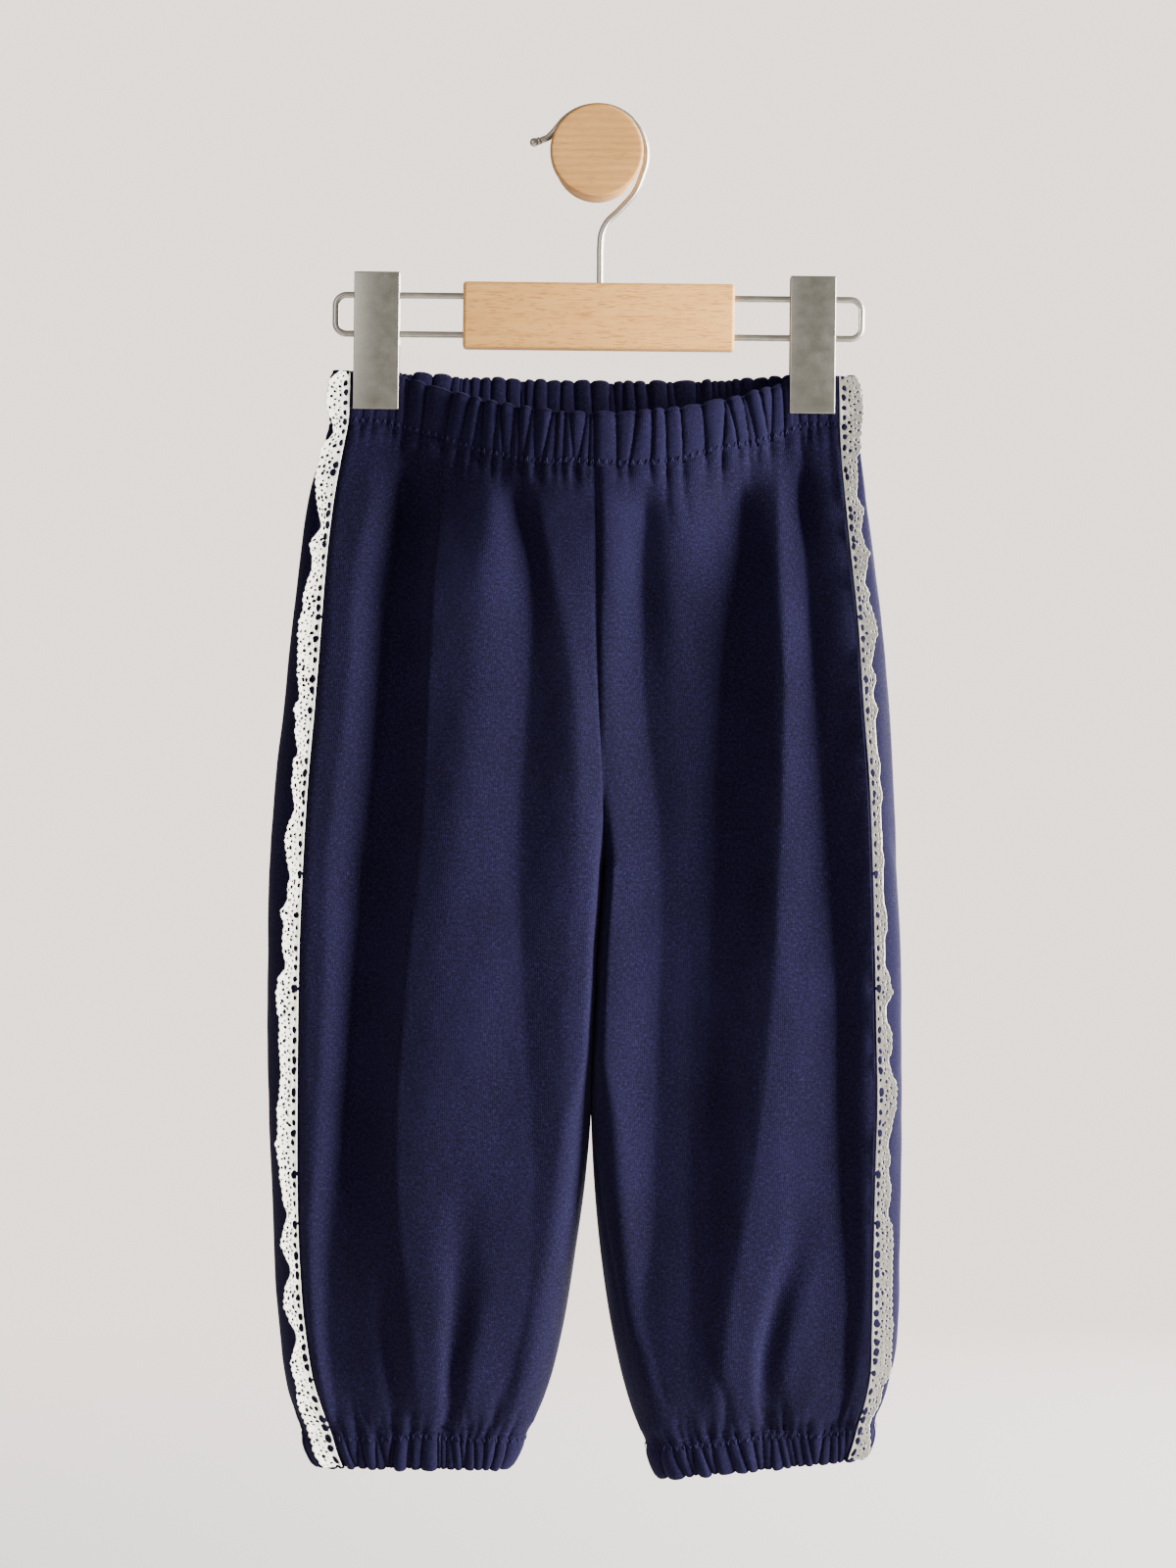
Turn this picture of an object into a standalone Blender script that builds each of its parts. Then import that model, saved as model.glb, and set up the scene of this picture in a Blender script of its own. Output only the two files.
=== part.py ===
"""Child's bloomer trousers hanging by their waistband from a clip hanger on a round wall knob.

The trousers are sewn from two front panels and two back panels of sweatshirt fleece, with an elasticated
waistband casing, two elasticated hem casings and a strip of cotton lace caught in each side seam.
Left and right are as seen from the front. Sizes are in millimetres and are scaled to metres once, when a
mesh is made. The wall is the plane Y = 0, the front faces -Y, and the origin is on the knob's axis.
"""

import math
from collections import namedtuple

import bmesh
import bpy
import numpy as np
from mathutils import Vector

MM = 0.001

# ---------------------------------------------------------------- driving sizes
HANG_Y = -30.0  # plane of the hanger, in front of the wall
HANG_RISE = 2.2  # height of the garment tables' zero above the knob's axis
SEAM_GAP = 0.3  # between neighbouring pieces
CLOTH = 1.8  # sweatshirt fleece
LACE = 1.0
CASING = 4.0  # folded fleece with elastic inside

BAND_TOP = 104.5  # waistband rim at the side seams, below the tables' zero
BAND_HEIGHT = 24.6
BAND_TILT = 0.0105  # the hanger leans, so the right end is lower
CLIPPED_DEPTH = 4.3  # half the thickness of the waistband where the clips press it
BAND_HALF_SPAN = 89.0  # from the middle to where the clips flatten the band
FRONT_BOW, BACK_BOW = 20.0, 7.0  # how far the band stands forward and back in the middle
FRONT_SAG, BACK_SAG = 19.8, 3.2  # how far its rim hangs down in the middle
SAG_HALF_SPAN = 96.0
BAND_FADE = 95.0  # length below the band over which its shape goes over into the body's
FOLD_START = 24.0  # length below the band over which the folds grow to their full depth

CUFF_TOP = {"left": 591.0, "right": 591.2}
CUFF_BOTTOM = {"left": 607.2, "right": 607.6}
CUFF_TILT = {"left": 1.0, "right": 9.0}  # inner end lower than the outer end

BAND_GATHERS = {"front": 30, "back": 30}
CUFF_GATHERS = 38
GATHER_DEPTH = {"band": 1.5, "cuff": 1.1}
STEPS_PER_GATHER = 3
STEPS_PER_WAVE = 3  # of the lace, one wave for each row of its back panel

LACE_STEP = 3.75  # between the columns of the lace and of the back panel below it, three to its width
LACE_TURN = math.radians(9)  # the most that it bends at each column, so it stands out from a sharp edge
LACE_CLEAR = 0.6  # from the cloth it lies on
LACE_STAND = {"left": (0.4, 1.3), "right": (0.9, 2.4)}  # least and most that the free edge lifts

PANEL_ACROSS = {"front": 19, "back": 17}
PANEL_ROWS = 23

# ---------------------------------------------------------------- outline and depth tables
# Down is measured below the tables' zero. Out is the silhouette, in is the centre seam above the crotch
# and the inner leg below it, and seam is the side seam, which lies on the front a little way in.
Outline = namedtuple("Outline", "down left_out left_seam left_in right_in right_seam right_out")
OUTLINE = [
    Outline(104.0, -123.0, -113.0, -0.5, -0.5, 111.2, 121.2),
    Outline(115.7, -124.2, -113.3, -0.5, -0.5, 111.4, 122.6),
    Outline(128.3, -123.4, -114.2, -0.6, -0.6, 111.6, 122.0),
    Outline(140.4, -126.6, -116.5, -0.4, -0.4, 112.2, 122.0),
    Outline(158.4, -131.8, -119.7, 0.0, 0.0, 113.6, 123.5),
    Outline(185.4, -136.1, -122.8, 0.0, 0.0, 115.8, 127.2),
    Outline(221.4, -140.4, -125.4, 0.0, 0.0, 119.0, 131.5),
    Outline(257.4, -144.2, -128.2, 0.9, 0.9, 121.3, 134.6),
    Outline(293.4, -148.3, -131.4, 2.5, 2.5, 124.0, 136.9),
    Outline(329.4, -151.2, -133.6, 3.1, 3.3, 125.4, 138.7),
    Outline(365.4, -151.9, -135.2, 0.9, 2.7, 126.3, 140.0),
    Outline(401.4, -152.0, -135.9, -0.9, 1.3, 127.0, 140.0),
    Outline(437.4, -151.3, -136.2, -2.4, 0.2, 127.6, 140.3),
    Outline(473.4, -149.9, -136.2, -5.0, -0.6, 126.6, 140.1),
    Outline(509.4, -148.7, -135.3, -9.9, 1.8, 125.8, 139.6),
    Outline(545.4, -145.9, -132.4, -16.0, 7.7, 125.1, 138.7),
    Outline(567.9, -143.6, -128.6, -21.6, 13.2, 124.4, 135.9),
    Outline(581.4, -140.4, -124.6, -26.6, 17.6, 122.0, 131.9),
    Outline(591.3, -136.2, -121.3, -31.3, 21.9, 119.2, 128.4),
    Outline(599.4, -134.4, -119.0, -34.6, 24.2, 117.0, 127.2),
    Outline(608.4, -130.2, -115.4, -39.0, 28.0, 114.0, 124.4),
]

# Depths in front of and behind the hanger's plane, the share of them left at the centre seam, and how far
# in from the silhouette and from the inner edge the cloth curves round.
Depth = namedtuple("Depth", "down front back centre side_round inner_round")
DEPTH = [
    Depth(120.0, 17.0, 9.0, 1.00, 16.0, 12.0),
    Depth(160.0, 20.0, 11.0, 1.00, 17.0, 12.0),
    Depth(200.0, 22.5, 13.5, 1.00, 18.0, 12.0),
    Depth(240.0, 24.0, 16.0, 1.00, 19.0, 12.0),
    Depth(280.0, 24.5, 18.0, 0.96, 20.0, 12.0),
    Depth(300.0, 24.5, 18.5, 0.88, 20.0, 12.0),
    Depth(316.0, 24.5, 18.5, 0.68, 20.0, 12.0),
    Depth(326.0, 24.5, 18.5, 0.30, 20.0, 13.0),
    Depth(332.0, 24.5, 18.5, 0.00, 20.0, 13.0),
    Depth(380.0, 24.0, 18.5, 0.00, 20.0, 13.0),
    Depth(440.0, 23.5, 18.5, 0.00, 20.0, 14.0),
    Depth(510.0, 24.0, 19.0, 0.00, 21.0, 16.0),
    Depth(550.0, 24.0, 19.0, 0.00, 23.0, 19.0),
    Depth(572.0, 22.0, 17.0, 0.00, 23.0, 20.0),
    Depth(583.0, 18.5, 14.5, 0.00, 21.0, 19.0),
    Depth(592.0, 15.5, 12.0, 0.00, 19.0, 18.0),
    Depth(610.0, 14.5, 11.0, 0.00, 18.0, 17.0),
]
BACK_ROUND = 1.7  # the back curves round this many times as gently as the front

# The largest folds. Each line runs down the cloth along the top of a ridge or the bottom of a valley:
# across says where it is at each of these heights, out how far the cloth stands forward of the smooth
# body there, and sharp whether the line is a soft wave, 0, or a crease, 1.
FOLD_DOWN = (145.0, 158.0, 194.0, 248.0, 320.0, 392.0, 464.0, 500.0, 532.0, 559.0, 581.0)
FoldLine = namedtuple("FoldLine", "name sharp across out")
FRONT_FOLDS = {
    "left": [
        FoldLine("side ridge", 0.2, (-106, -105, -111, -114, -123, -125, -129, -131, -130, -127, -124),
                 (-0.5, 0.0, 0.5, 1.0, 1.0, 1.0, 1.0, 0.5, 0.0, 0.0, 0.0)),
        FoldLine("valley under clip", 0.3, (-86.5, -87.5, -91.5, -95.5, -102.5, -109, -115, -121.5, -123.5, -122, -118.5),
                 (-3.0, -6.5, -8.0, -8.0, -8.0, -8.0, -7.0, -5.5, -4.5, -4.0, -2.0)),
        FoldLine("thigh edge", 0.9, (-71.5, -71.5, -74.5, -77, -81, -88, -92, -89.5, -86, -83, -80.5),
                 (-0.5, 0.0, 2.0, 3.0, 3.0, 3.2, 4.0, 3.5, 3.2, 2.5, 1.2)),
        FoldLine("thigh", 0.0, (-50.5, -50.5, -54.5, -59, -64.5, -70.5, -76, -76, -76, -75, -74),
                 (0.3, 1.0, 3.5, 4.5, 4.5, 4.5, 4.5, 4.0, 3.5, 2.5, 1.2)),
        FoldLine("diagonal valley", 0.7, (-38.5, -37, -30.5, -31, -35.5, -33.5, -29, -29.5, -32, -38, -43),
                 (-2.5, -4.5, -3.5, -1.0, 0.0, 1.0, 1.5, 1.5, 0.8, -0.8, -1.0)),
        FoldLine("inner ridge", 0.1, (-22, -25, -19.5, -11.5, -10, -15.5, -16.5, -20, -24, -29, -35.5),
                 (-0.5, -1.0, 0.0, 2.5, 3.0, 2.5, 2.3, 2.0, 1.5, 1.0, 0.5)),
    ],
    "right": [
        FoldLine("inner ridge", 0.2, (3, 3, 3.5, 2.5, 4, 4.5, 5, 9, 12, 19.5, 26.5),
                 (-0.5, -0.7, -0.8, -1.5, -2.5, -0.5, 0.5, 0.3, 0.3, 0.2, 0.0)),
        FoldLine("valley by centre", 0.6, (20.5, 22, 21, 21.5, 29, 28.5, 26, 25.5, 21, 27.5, 33),
                 (-2.5, -4.5, -6.5, -8.5, -9.5, -7.5, -6.5, -5.0, -3.0, -2.0, -0.8)),
        FoldLine("low thigh", 0.0, (36.5, 36.5, 35.5, 35.5, 39.5, 39.5, 41, 41, 41, 41, 42),
                 (-1.5, -1.5, -3.5, -7.0, -9.0, -7.0, -5.5, -3.8, -1.8, -1.2, -0.4)),
        FoldLine("valley under clip", 0.6, (66.5, 66.5, 66, 60, 55.5, 51, 51, 51, 49, 48, 49),
                 (-3.5, -6.5, -8.0, -10.5, -10.0, -6.0, -3.8, -1.8, -0.5, 0.0, 0.0)),
        FoldLine("thigh edge", 0.3, (83.5, 83.5, 83.5, 85.5, 84, 80, 72.5, 66.5, 61, 58, 57),
                 (-0.5, 0.0, 0.5, 1.0, 1.2, 2.0, 2.5, 2.3, 2.6, 2.5, 1.0)),
        FoldLine("valley by side", 0.9, (94, 93.5, 96, 99, 104.5, 110.5, 111.5, 114, 115.5, 113, 110),
                 (-2.5, -5.0, -4.5, -5.5, -5.5, -5.5, -5.0, -4.0, -4.0, -3.5, -1.5)),
        FoldLine("side ridge", 0.2, (106.5, 106.5, 110.5, 119.5, 123.5, 124.5, 124.5, 124, 124, 123, 120),
                 (-0.5, -0.5, -0.5, 0.0, 0.0, 0.0, 0.0, 0.0, -0.5, -0.5, 0.0)),
    ],
}
BACK_FOLDS = {
    "left": [
        FoldLine("side ridge", 0.1, (-104, -105, -109, -114, -119, -121, -121, -120, -118, -114, -111),
                 (-0.5, -0.3, 0.5, 1.0, 1.0, 0.8, 0.5, 0.5, 0.8, 0.8, 0.3)),
        FoldLine("outer valley", 0.5, (-88, -88, -91, -95, -99, -102, -104, -104, -102, -99, -97),
                 (-2.0, -4.0, -5.5, -5.5, -5.0, -4.5, -4.0, -4.5, -5.0, -4.0, -1.8)),
        FoldLine("seat", 0.2, (-68, -68, -71, -74, -78, -81, -83, -84, -84, -83, -82),
                 (0.0, 0.5, 1.5, 2.2, 2.0, 2.0, 2.2, 2.0, 1.5, 1.0, 0.5)),
        FoldLine("inner valley", 0.4, (-42, -42, -44, -48, -52, -55, -57, -60, -62, -64, -66),
                 (-2.0, -3.5, -3.0, -2.0, -2.5, -2.5, -2.5, -3.5, -4.5, -4.0, -1.8)),
        FoldLine("inner ridge", 0.1, (-18, -17, -15, -14, -15, -18, -22, -26, -32, -38, -44),
                 (-0.5, -0.3, 0.5, 1.2, 1.5, 1.0, 0.8, 0.8, 0.5, 0.5, 0.2)),
    ],
    "right": [
        FoldLine("inner ridge", 0.1, (15, 15, 14, 13, 14, 16, 19, 23, 28, 34, 39),
                 (-0.5, -0.3, 0.5, 1.0, 1.2, 1.2, 1.0, 0.6, 0.5, 0.3, 0.2)),
        FoldLine("inner valley", 0.5, (38, 38, 40, 43, 46, 48, 50, 52, 54, 56, 58),
                 (-2.0, -4.0, -4.0, -3.5, -3.0, -2.5, -3.0, -4.0, -5.0, -4.0, -1.8)),
        FoldLine("seat", 0.2, (61, 61, 64, 67, 70, 72, 73, 74, 74, 73, 72),
                 (0.0, 0.5, 1.8, 2.5, 2.2, 2.0, 2.0, 1.8, 1.2, 0.8, 0.4)),
        FoldLine("outer valley", 0.4, (85, 85, 88, 91, 94, 96, 96, 95, 93, 91, 89),
                 (-2.0, -4.0, -5.0, -5.0, -4.5, -4.0, -3.5, -4.0, -4.5, -4.0, -1.8)),
        FoldLine("side ridge", 0.1, (102, 102, 104, 107, 110, 112, 112, 111, 109, 106, 103),
                 (-0.5, -0.3, 0.5, 1.0, 1.0, 0.8, 0.5, 0.5, 0.8, 0.6, 0.3)),
    ],
}
CENTRE_OUT = -1.5  # of the cloth at the centre seam, above the crotch

# Shorter creases that start and end within the panel, by the same measures, and their reach to each side.
Crease = namedtuple("Crease", "down across deep left right")
FRONT_CREASES = {
    "left": [
        [Crease(470, -59, 0.0, 7, 9), Crease(500, -62, 2.2, 7, 10), Crease(532, -63.5, 4.5, 5, 8),
         Crease(559, -66, 5.0, 4, 6), Crease(584, -68, 1.5, 3, 4)],
        [Crease(510, -95, 0.0, 6, 6), Crease(532, -97, 1.5, 5, 7), Crease(559, -95, 3.0, 4, 6),
         Crease(584, -92, 1.0, 3, 5)],
    ],
    "right": [
        [Crease(480, 93, 0.0, 6, 8), Crease(505, 90, 1.5, 6, 8), Crease(532, 82, 4.0, 5, 7),
         Crease(559, 77, 5.0, 4, 6), Crease(584, 78, 1.8, 3, 5)],
    ],
}
BACK_CREASES = {"left": [], "right": []}

# ---------------------------------------------------------------- hanger and knob sizes
HANGER_TILT = math.radians(0.6)
HANGER_X, HANGER_DOWN = 0.9, 78.0  # middle of the wooden bar
BAR = (125.0, 13.0, 30.6)  # long, thick, high
BAR_EDGE = 1.6
WIRE = 1.4  # radius of the side loops
LOOP_REACH = 121.3  # from the bar's middle to the loops' ends
LOOP_UP, LOOP_LOW = 9.0, -8.9  # the loop's two wires, from the bar's middle
LOOP_CORNER = 5.0
SOCKET_DEPTH = 12.0
SOCKET_ROOM = 0.3

HOOK_WIRE = 1.55
HOOK_RADIUS = 22.45  # of the wire's centreline
HOOK_BALL = 2.1

CLIP = (21.0, 63.4)  # wide, high
CLIP_X = {"left": -102.2, "right": 98.7}  # from the bar's middle
CLIP_DROP = 12.3  # clip's middle below the bar's middle
CLIP_SHEET = 1.3
CLIP_INNER = 4.7  # from the hanger's plane to the plate's inner face
CLIP_JAW_ROOM = 5.0  # the side flanges end this far below the lower wire

KNOB_NECK = 19.6
KNOB_DISC = 21.45
KNOB_DISC_THICK = 8.0
KNOB_LENGTH = 40.2

COLOURS = {  # linear colour, roughness, metallic
    "navy_fleece": ((0.016, 0.016, 0.065), 0.92, 0.0),
    "cotton_lace": ((0.78, 0.74, 0.64), 0.90, 0.0),
    "beech": ((0.72, 0.50, 0.31), 0.55, 0.0),
    "satin_nickel": ((0.46, 0.46, 0.43), 0.34, 1.0),
}


# ---------------------------------------------------------------- curves through tables
def through(knots, values, at):
    """A smooth curve through the values at rising knots, read at one place or many."""
    knots, values = np.asarray(knots, float), np.asarray(values, float)
    slopes = np.gradient(values, knots)
    at = np.clip(at, knots[0], knots[-1])
    i = np.clip(np.searchsorted(knots, at, side="right") - 1, 0, len(knots) - 2)
    step = knots[i + 1] - knots[i]
    t = (at - knots[i]) / step
    start = values[i] * (1 + 2 * t) + slopes[i] * step * t
    end = values[i + 1] * (3 - 2 * t) + slopes[i + 1] * step * (t - 1)
    return start * (1 - t) ** 2 + end * t**2


def column(table, name, down):
    return through([row.down for row in table], [getattr(row, name) for row in table], down)


def ease(t):
    t = np.clip(t, 0.0, 1.0)
    return t * t * (3 - 2 * t)


def rounded(distance, reach):
    """0 at an edge, rising like a quarter circle to 1 where the cloth has turned to face front."""
    t = 1 - np.clip(distance / reach, 0.0, 1.0)
    return np.sqrt(1 - t * t)


# ---------------------------------------------------------------- the garment's shape
def arch(x):
    """1 in the middle of the waistband, 0 where the clips hold it."""
    return np.clip(1 - (x / BAND_HALF_SPAN) ** 2, 0, 1) ** 1.25


def band_share(down):
    """How much of the waistband's own shape the cloth has: all in the band, none well below it."""
    return 1 - ease((down - BAND_TOP - BAND_HEIGHT) / BAND_FADE)


def fallen(x, down, half, side):
    """Height below the tables' zero of the cloth whose row starts at this height at the side seam."""
    sag = np.clip(1 - (x / SAG_HALF_SPAN) ** 2, 0, 1) * (FRONT_SAG if side == "front" else BACK_SAG)
    sag = sag + BAND_TILT * x
    inner = column(OUTLINE, f"{half}_in", down)
    outer = column(OUTLINE, f"{half}_out", down)
    across = (x - outer) / (inner - outer) - 0.5
    tilt = CUFF_TILT[half] * across * ease((down - 480) / (CUFF_TOP[half] - 480))
    return down + sag * band_share(down) + tilt


def fold_relief(lines, x, down, ends):
    """How far the cloth stands out or back between the fold lines, at each x and its own height.

    Ends are the two places, outer and inner, where the relief is nothing and the centre seam's.
    """
    sign = 1 if ends[0][0] < ends[1][0] else -1
    across = [np.full_like(x, ends[0][0])] + [through(FOLD_DOWN, line.across, down) for line in lines]
    across.append(np.full_like(x, ends[1][0]))
    out = [np.zeros_like(x)] + [through(FOLD_DOWN, line.out, down) for line in lines]
    out.append(np.full_like(x, ends[1][1]))
    sharp = [0.0] + [line.sharp for line in lines] + [0.6]
    relief = np.full_like(x, ends[1][1])
    for i in range(len(across) - 1):
        wide = across[i + 1] - across[i]
        t = np.clip((x - across[i]) / np.where(np.abs(wide) < 0.5, math.copysign(0.5, sign), wide), 0, 1)
        inside = ((x - across[i]) * sign >= 0) & ((x - across[i + 1]) * sign < 0)
        rise = out[i + 1] - out[i]
        smooth = t * t * (3 - 2 * t)
        bend = 1.5 * (sharp[i] * t * (1 - t) ** 2 - sharp[i + 1] * t * t * (1 - t))
        relief = np.where(inside, out[i] + rise * (smooth + bend), relief)
    return relief


def crease_depth(creases, x, down):
    total = np.zeros_like(x)
    for rows in creases:
        across, deep, left, right = (column(rows, n, down) for n in ("across", "deep", "left", "right"))
        ends = (down >= rows[0].down) & (down <= rows[-1].down + 12)
        reach = np.where(x < across, left, right)
        total += np.where(ends, np.maximum(deep, 0), 0) * np.exp(-(((x - across) / reach) ** 2))
    return total


def half_section(down, half, side, count=140):
    """Plan of one half, or of one leg, at a height: x and y from the silhouette to the inner edge."""
    centre = np.clip(column(DEPTH, "centre", down), 0, 1)
    outer = column(OUTLINE, f"{half}_out", down)
    inner = column(OUTLINE, f"{half}_in", down) + math.copysign(SEAM_GAP / 2 * (1 - centre), outer)
    x = outer + (inner - outer) * (1 - np.cos(np.linspace(0, math.pi, count))) / 2
    from_side, from_inner = np.abs(x - outer), np.abs(x - inner)
    ease_round = BACK_ROUND if side == "back" else 1.0
    body = column(DEPTH, side, down) * rounded(from_side, ease_round * column(DEPTH, "side_round", down))
    body *= centre + (1 - centre) * rounded(from_inner, ease_round * column(DEPTH, "inner_round", down))
    bow = FRONT_BOW if side == "front" else BACK_BOW
    band = CLIPPED_DEPTH * rounded(from_side, CLIPPED_DEPTH) + bow * arch(x)
    share = band_share(down)
    low = fallen(x, down, half, side)
    front = side == "front"
    lines = (FRONT_FOLDS if front else BACK_FOLDS)[half]
    from_outer = lines if half == "left" else lines[::-1]
    relief = fold_relief(from_outer, x, low, ((outer, 0.0), (inner, CENTRE_OUT * centre)))
    relief -= crease_depth((FRONT_CREASES if front else BACK_CREASES)[half], x, low)
    relief *= ease((down - BAND_TOP - BAND_HEIGHT) / FOLD_START) * rounded(from_side, 12)
    relief *= centre + (1 - centre) * rounded(from_inner, 8)
    relief *= 1 - 0.75 * ease((down - CUFF_TOP[half] + 8) / 8)
    depth = share * band + (1 - share) * body + relief
    return x, HANG_Y + (-depth if front else depth)


def panel_line(down, half, side):
    """The line of one panel at a height, as x, y and fallen height.

    The front panel runs from the side seam to the inner edge. The back panel runs from the inner edge
    over the back and round the silhouette to the side seam.
    """
    seam = column(OUTLINE, f"{half}_seam", down)
    x, y = half_section(down, half, "front")
    order = 1 if half == "left" else -1
    beyond = x * order >= seam * order
    y_seam = np.interp(seam, x[::order], y[::order])
    if side == "front":
        x, y = np.append(seam, x[beyond]), np.append(y_seam, y[beyond])
        return x, y, fallen(x, down, half, "front")
    x_wrap, y_wrap = np.append(x[~beyond], seam), np.append(y[~beyond], y_seam)
    x_back, y_back = half_section(down, half, "back")
    x = np.concatenate([x_back[::-1], x_wrap[1:]])
    y = np.concatenate([y_back[::-1], y_wrap[1:]])
    low = np.concatenate([fallen(x_back[::-1], down, half, "back"), fallen(x_wrap[1:], down, half, "front")])
    return x, y, low


def along(line, at, trim=SEAM_GAP / 2):
    """Points and outward normals at shares of a line's length, with its two ends trimmed."""
    x, y, low = line
    length = np.append(0, np.cumsum(np.hypot(np.diff(x), np.diff(y))))
    want = trim + np.asarray(at) * (length[-1] - 2 * trim)
    points = np.stack([np.interp(want, length, values) for values in (x, y, low)], axis=1)
    reach = 0.6
    before, after = np.clip(want - reach, 0, length[-1]), np.clip(want + reach, 0, length[-1])
    run = np.stack([np.interp(after, length, v) - np.interp(before, length, v) for v in (x, y)], axis=1)
    run /= np.linalg.norm(run, axis=1)[:, None]
    return points, run, length[-1]


def outward(run, half):
    """Normals that point out of the trousers, from the direction in which a half's line runs."""
    return np.stack([run[:, 1], -run[:, 0]], axis=1) * (1 if half == "left" else -1)


# ---------------------------------------------------------------- meshes
def world(points):
    """Table coordinates (x, y, down), in millimetres, as points of the part's own frame."""
    points = np.asarray(points, float)
    return np.stack([points[:, 0], points[:, 1], HANG_RISE - points[:, 2]], axis=1) * MM


def material(name):
    found = bpy.data.materials.get(name)
    if found:
        return found
    colour, roughness, metallic = COLOURS[name]
    made = bpy.data.materials.new(name)
    made.use_nodes = True
    shader = made.node_tree.nodes["Principled BSDF"]
    shader.inputs["Base Color"].default_value = (*colour, 1)
    shader.inputs["Roughness"].default_value = roughness
    shader.inputs["Metallic"].default_value = metallic
    return made


def add_object(name, data, finish, collection="bloomer_trousers"):
    made = bpy.data.objects.new(name, data)
    made.data.materials.append(material(finish))
    group = bpy.data.collections.get(collection)
    if group is None:
        group = bpy.data.collections.new(collection)
        bpy.context.scene.collection.children.link(group)
    group.objects.link(made)
    return made


def loft(name, rings, finish, closed=False):
    """A closed body through rings of points. Open lofts get an end face at each end ring."""
    mesh = bmesh.new()
    loops = [[mesh.verts.new(point) for point in ring] for ring in rings]
    pairs = list(zip(loops, loops[1:]))
    if closed:
        pairs.append((loops[-1], loops[0]))
    for ring, following in pairs:
        for i in range(len(ring)):
            j = (i + 1) % len(ring)
            mesh.faces.new((ring[i], ring[j], following[j], following[i]))
    if not closed:
        for ring in (loops[0], loops[-1]):
            half = len(ring) // 2
            for i in range(half - 1):
                mesh.faces.new((ring[i], ring[i + 1], ring[-i - 2], ring[-i - 1]))
            if len(ring) % 2:
                mesh.faces.new((ring[half - 1], ring[half], ring[half + 1]))
    bmesh.ops.recalc_face_normals(mesh, faces=mesh.faces)
    data = bpy.data.meshes.new(name)
    mesh.to_mesh(data)
    mesh.free()
    data.shade_smooth()
    data.set_sharp_from_angle(angle=math.radians(50))
    return add_object(name, data, finish)


# ---------------------------------------------------------------- cloth pieces
def row_height(row):
    """Share of a panel's height at a share of its rows, which lie closer near its top and bottom."""
    return row - 0.06 * np.sin(2 * math.pi * row)


def panel_grid(half, side):
    """Rows of points on one panel's outer face and on its inner face, from top to bottom."""
    across = PANEL_ACROSS[side]
    top = BAND_TOP + BAND_HEIGHT + SEAM_GAP
    bottom = CUFF_TOP[half] - SEAM_GAP
    outer, inner = [], []
    for row in np.linspace(0, 1, PANEL_ROWS + 1):
        line = panel_line(top + (bottom - top) * row_height(row), half, side)
        shares = np.linspace(0, 1, across + 1)
        if side == "back":
            wrap = 4 * LACE_STEP / along(line, [0.0])[2]
            shares = np.append(np.linspace(0, 1 - wrap, across - 3), 1 - wrap * np.array([3, 2, 1, 0]) / 4)
        points, run, _ = along(line, shares)
        inside = points.copy()
        inside[:, :2] -= outward(run, half) * CLOTH
        outer.append(points)
        inner.append(inside)
    return np.array(outer), np.array(inner)


def build_panel(half, side):
    """One leg's front or back, from the waistband to the hem casing, as a wall of fleece."""
    outer, inner = panel_grid(half, side)
    rings = [world(np.concatenate([out, back[::-1]])) for out, back in zip(outer, inner)]
    return loft(f"{side}_panel_{half}", rings, "navy_fleece")


def pleat(phase):
    """Share of the gather depth at a phase of the gathering: broad crests and narrow creases."""
    return 1 - np.sqrt(np.abs(np.sin(math.pi * phase)))


def casing_ring(lines, at, rows, depth, sides):
    """One upright ring of a gathered casing at a share of its length.

    Rows give each point's share of the casing's height and how far in from the outer face it lies.
    """
    ring = []
    for down, inset, gathered in rows:
        points, normals = lines(down, at)
        ring.append([*(points[:2] - normals * (inset + depth * gathered)), points[2]])
    return world(ring)


def casing_rows(top, bottom, thick):
    """Down, inset and share of the gathers, from the seam up the outside, over the fold and down inside."""
    high = bottom - top
    return [
        (bottom, 0.7, 0.8),
        (bottom - 0.22 * high, 0.0, 1.0),
        (bottom - 0.72 * high, 0.0, 1.0),
        (top + 0.04 * high, 0.7, 1.0),
        (top, 0.5 * thick, 0.3),
        (top + 0.08 * high, thick, 0.0),
        (bottom, thick, 0.0),
    ]


def band_line(down, side):
    """The waistband's line at a height: left half, then right half, seam to seam."""
    left, right = panel_line(down, "left", side), panel_line(down, "right", side)
    if side == "front":
        parts = [np.append(a, b[::-1][1:]) for a, b in zip(left, right)]
    else:
        parts = [np.append(b[::-1], a[1:]) for a, b in zip(left, right)]
    return parts


def uneven(index, count):
    """Place of a gather crease along a casing, not quite evenly spaced."""
    even = index / count
    return even + (0.22 * math.sin(index * 2.4) + 0.16 * math.sin(index * 5.1 + 1)) / count * (index % count > 0)


def gather_places(gathers, steps):
    """Shares of the casing's length, and phases, with the same number of steps in each gather."""
    places = []
    for gather in range(gathers):
        start, end = uneven(gather, gathers), uneven(gather + 1, gathers)
        for step in range(steps):
            places.append((start + (end - start) * step / steps, step / steps))
    return places


def build_waistband(side):
    rows = casing_rows(BAND_TOP, BAND_TOP + BAND_HEIGHT, CASING)
    lines = {down: band_line(down, side) for down, _, _ in rows}
    rings = []
    for share, phase in gather_places(BAND_GATHERS[side], STEPS_PER_GATHER) + [(1.0, 0.0)]:
        ring = []
        for down, inset, gathered in rows:
            point, run, _ = along(lines[down], [share])
            normal = outward(run, "left")[0]
            clipped = 0.35 if abs(point[0, 0]) > BAND_HALF_SPAN else 1.0
            back = inset + GATHER_DEPTH["band"] * gathered * clipped * pleat(phase)
            ring.append([*(point[0, :2] - normal * back), point[0, 2]])
        rings.append(world(ring))
    return loft(f"waistband_{side}", rings, "navy_fleece")


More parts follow.
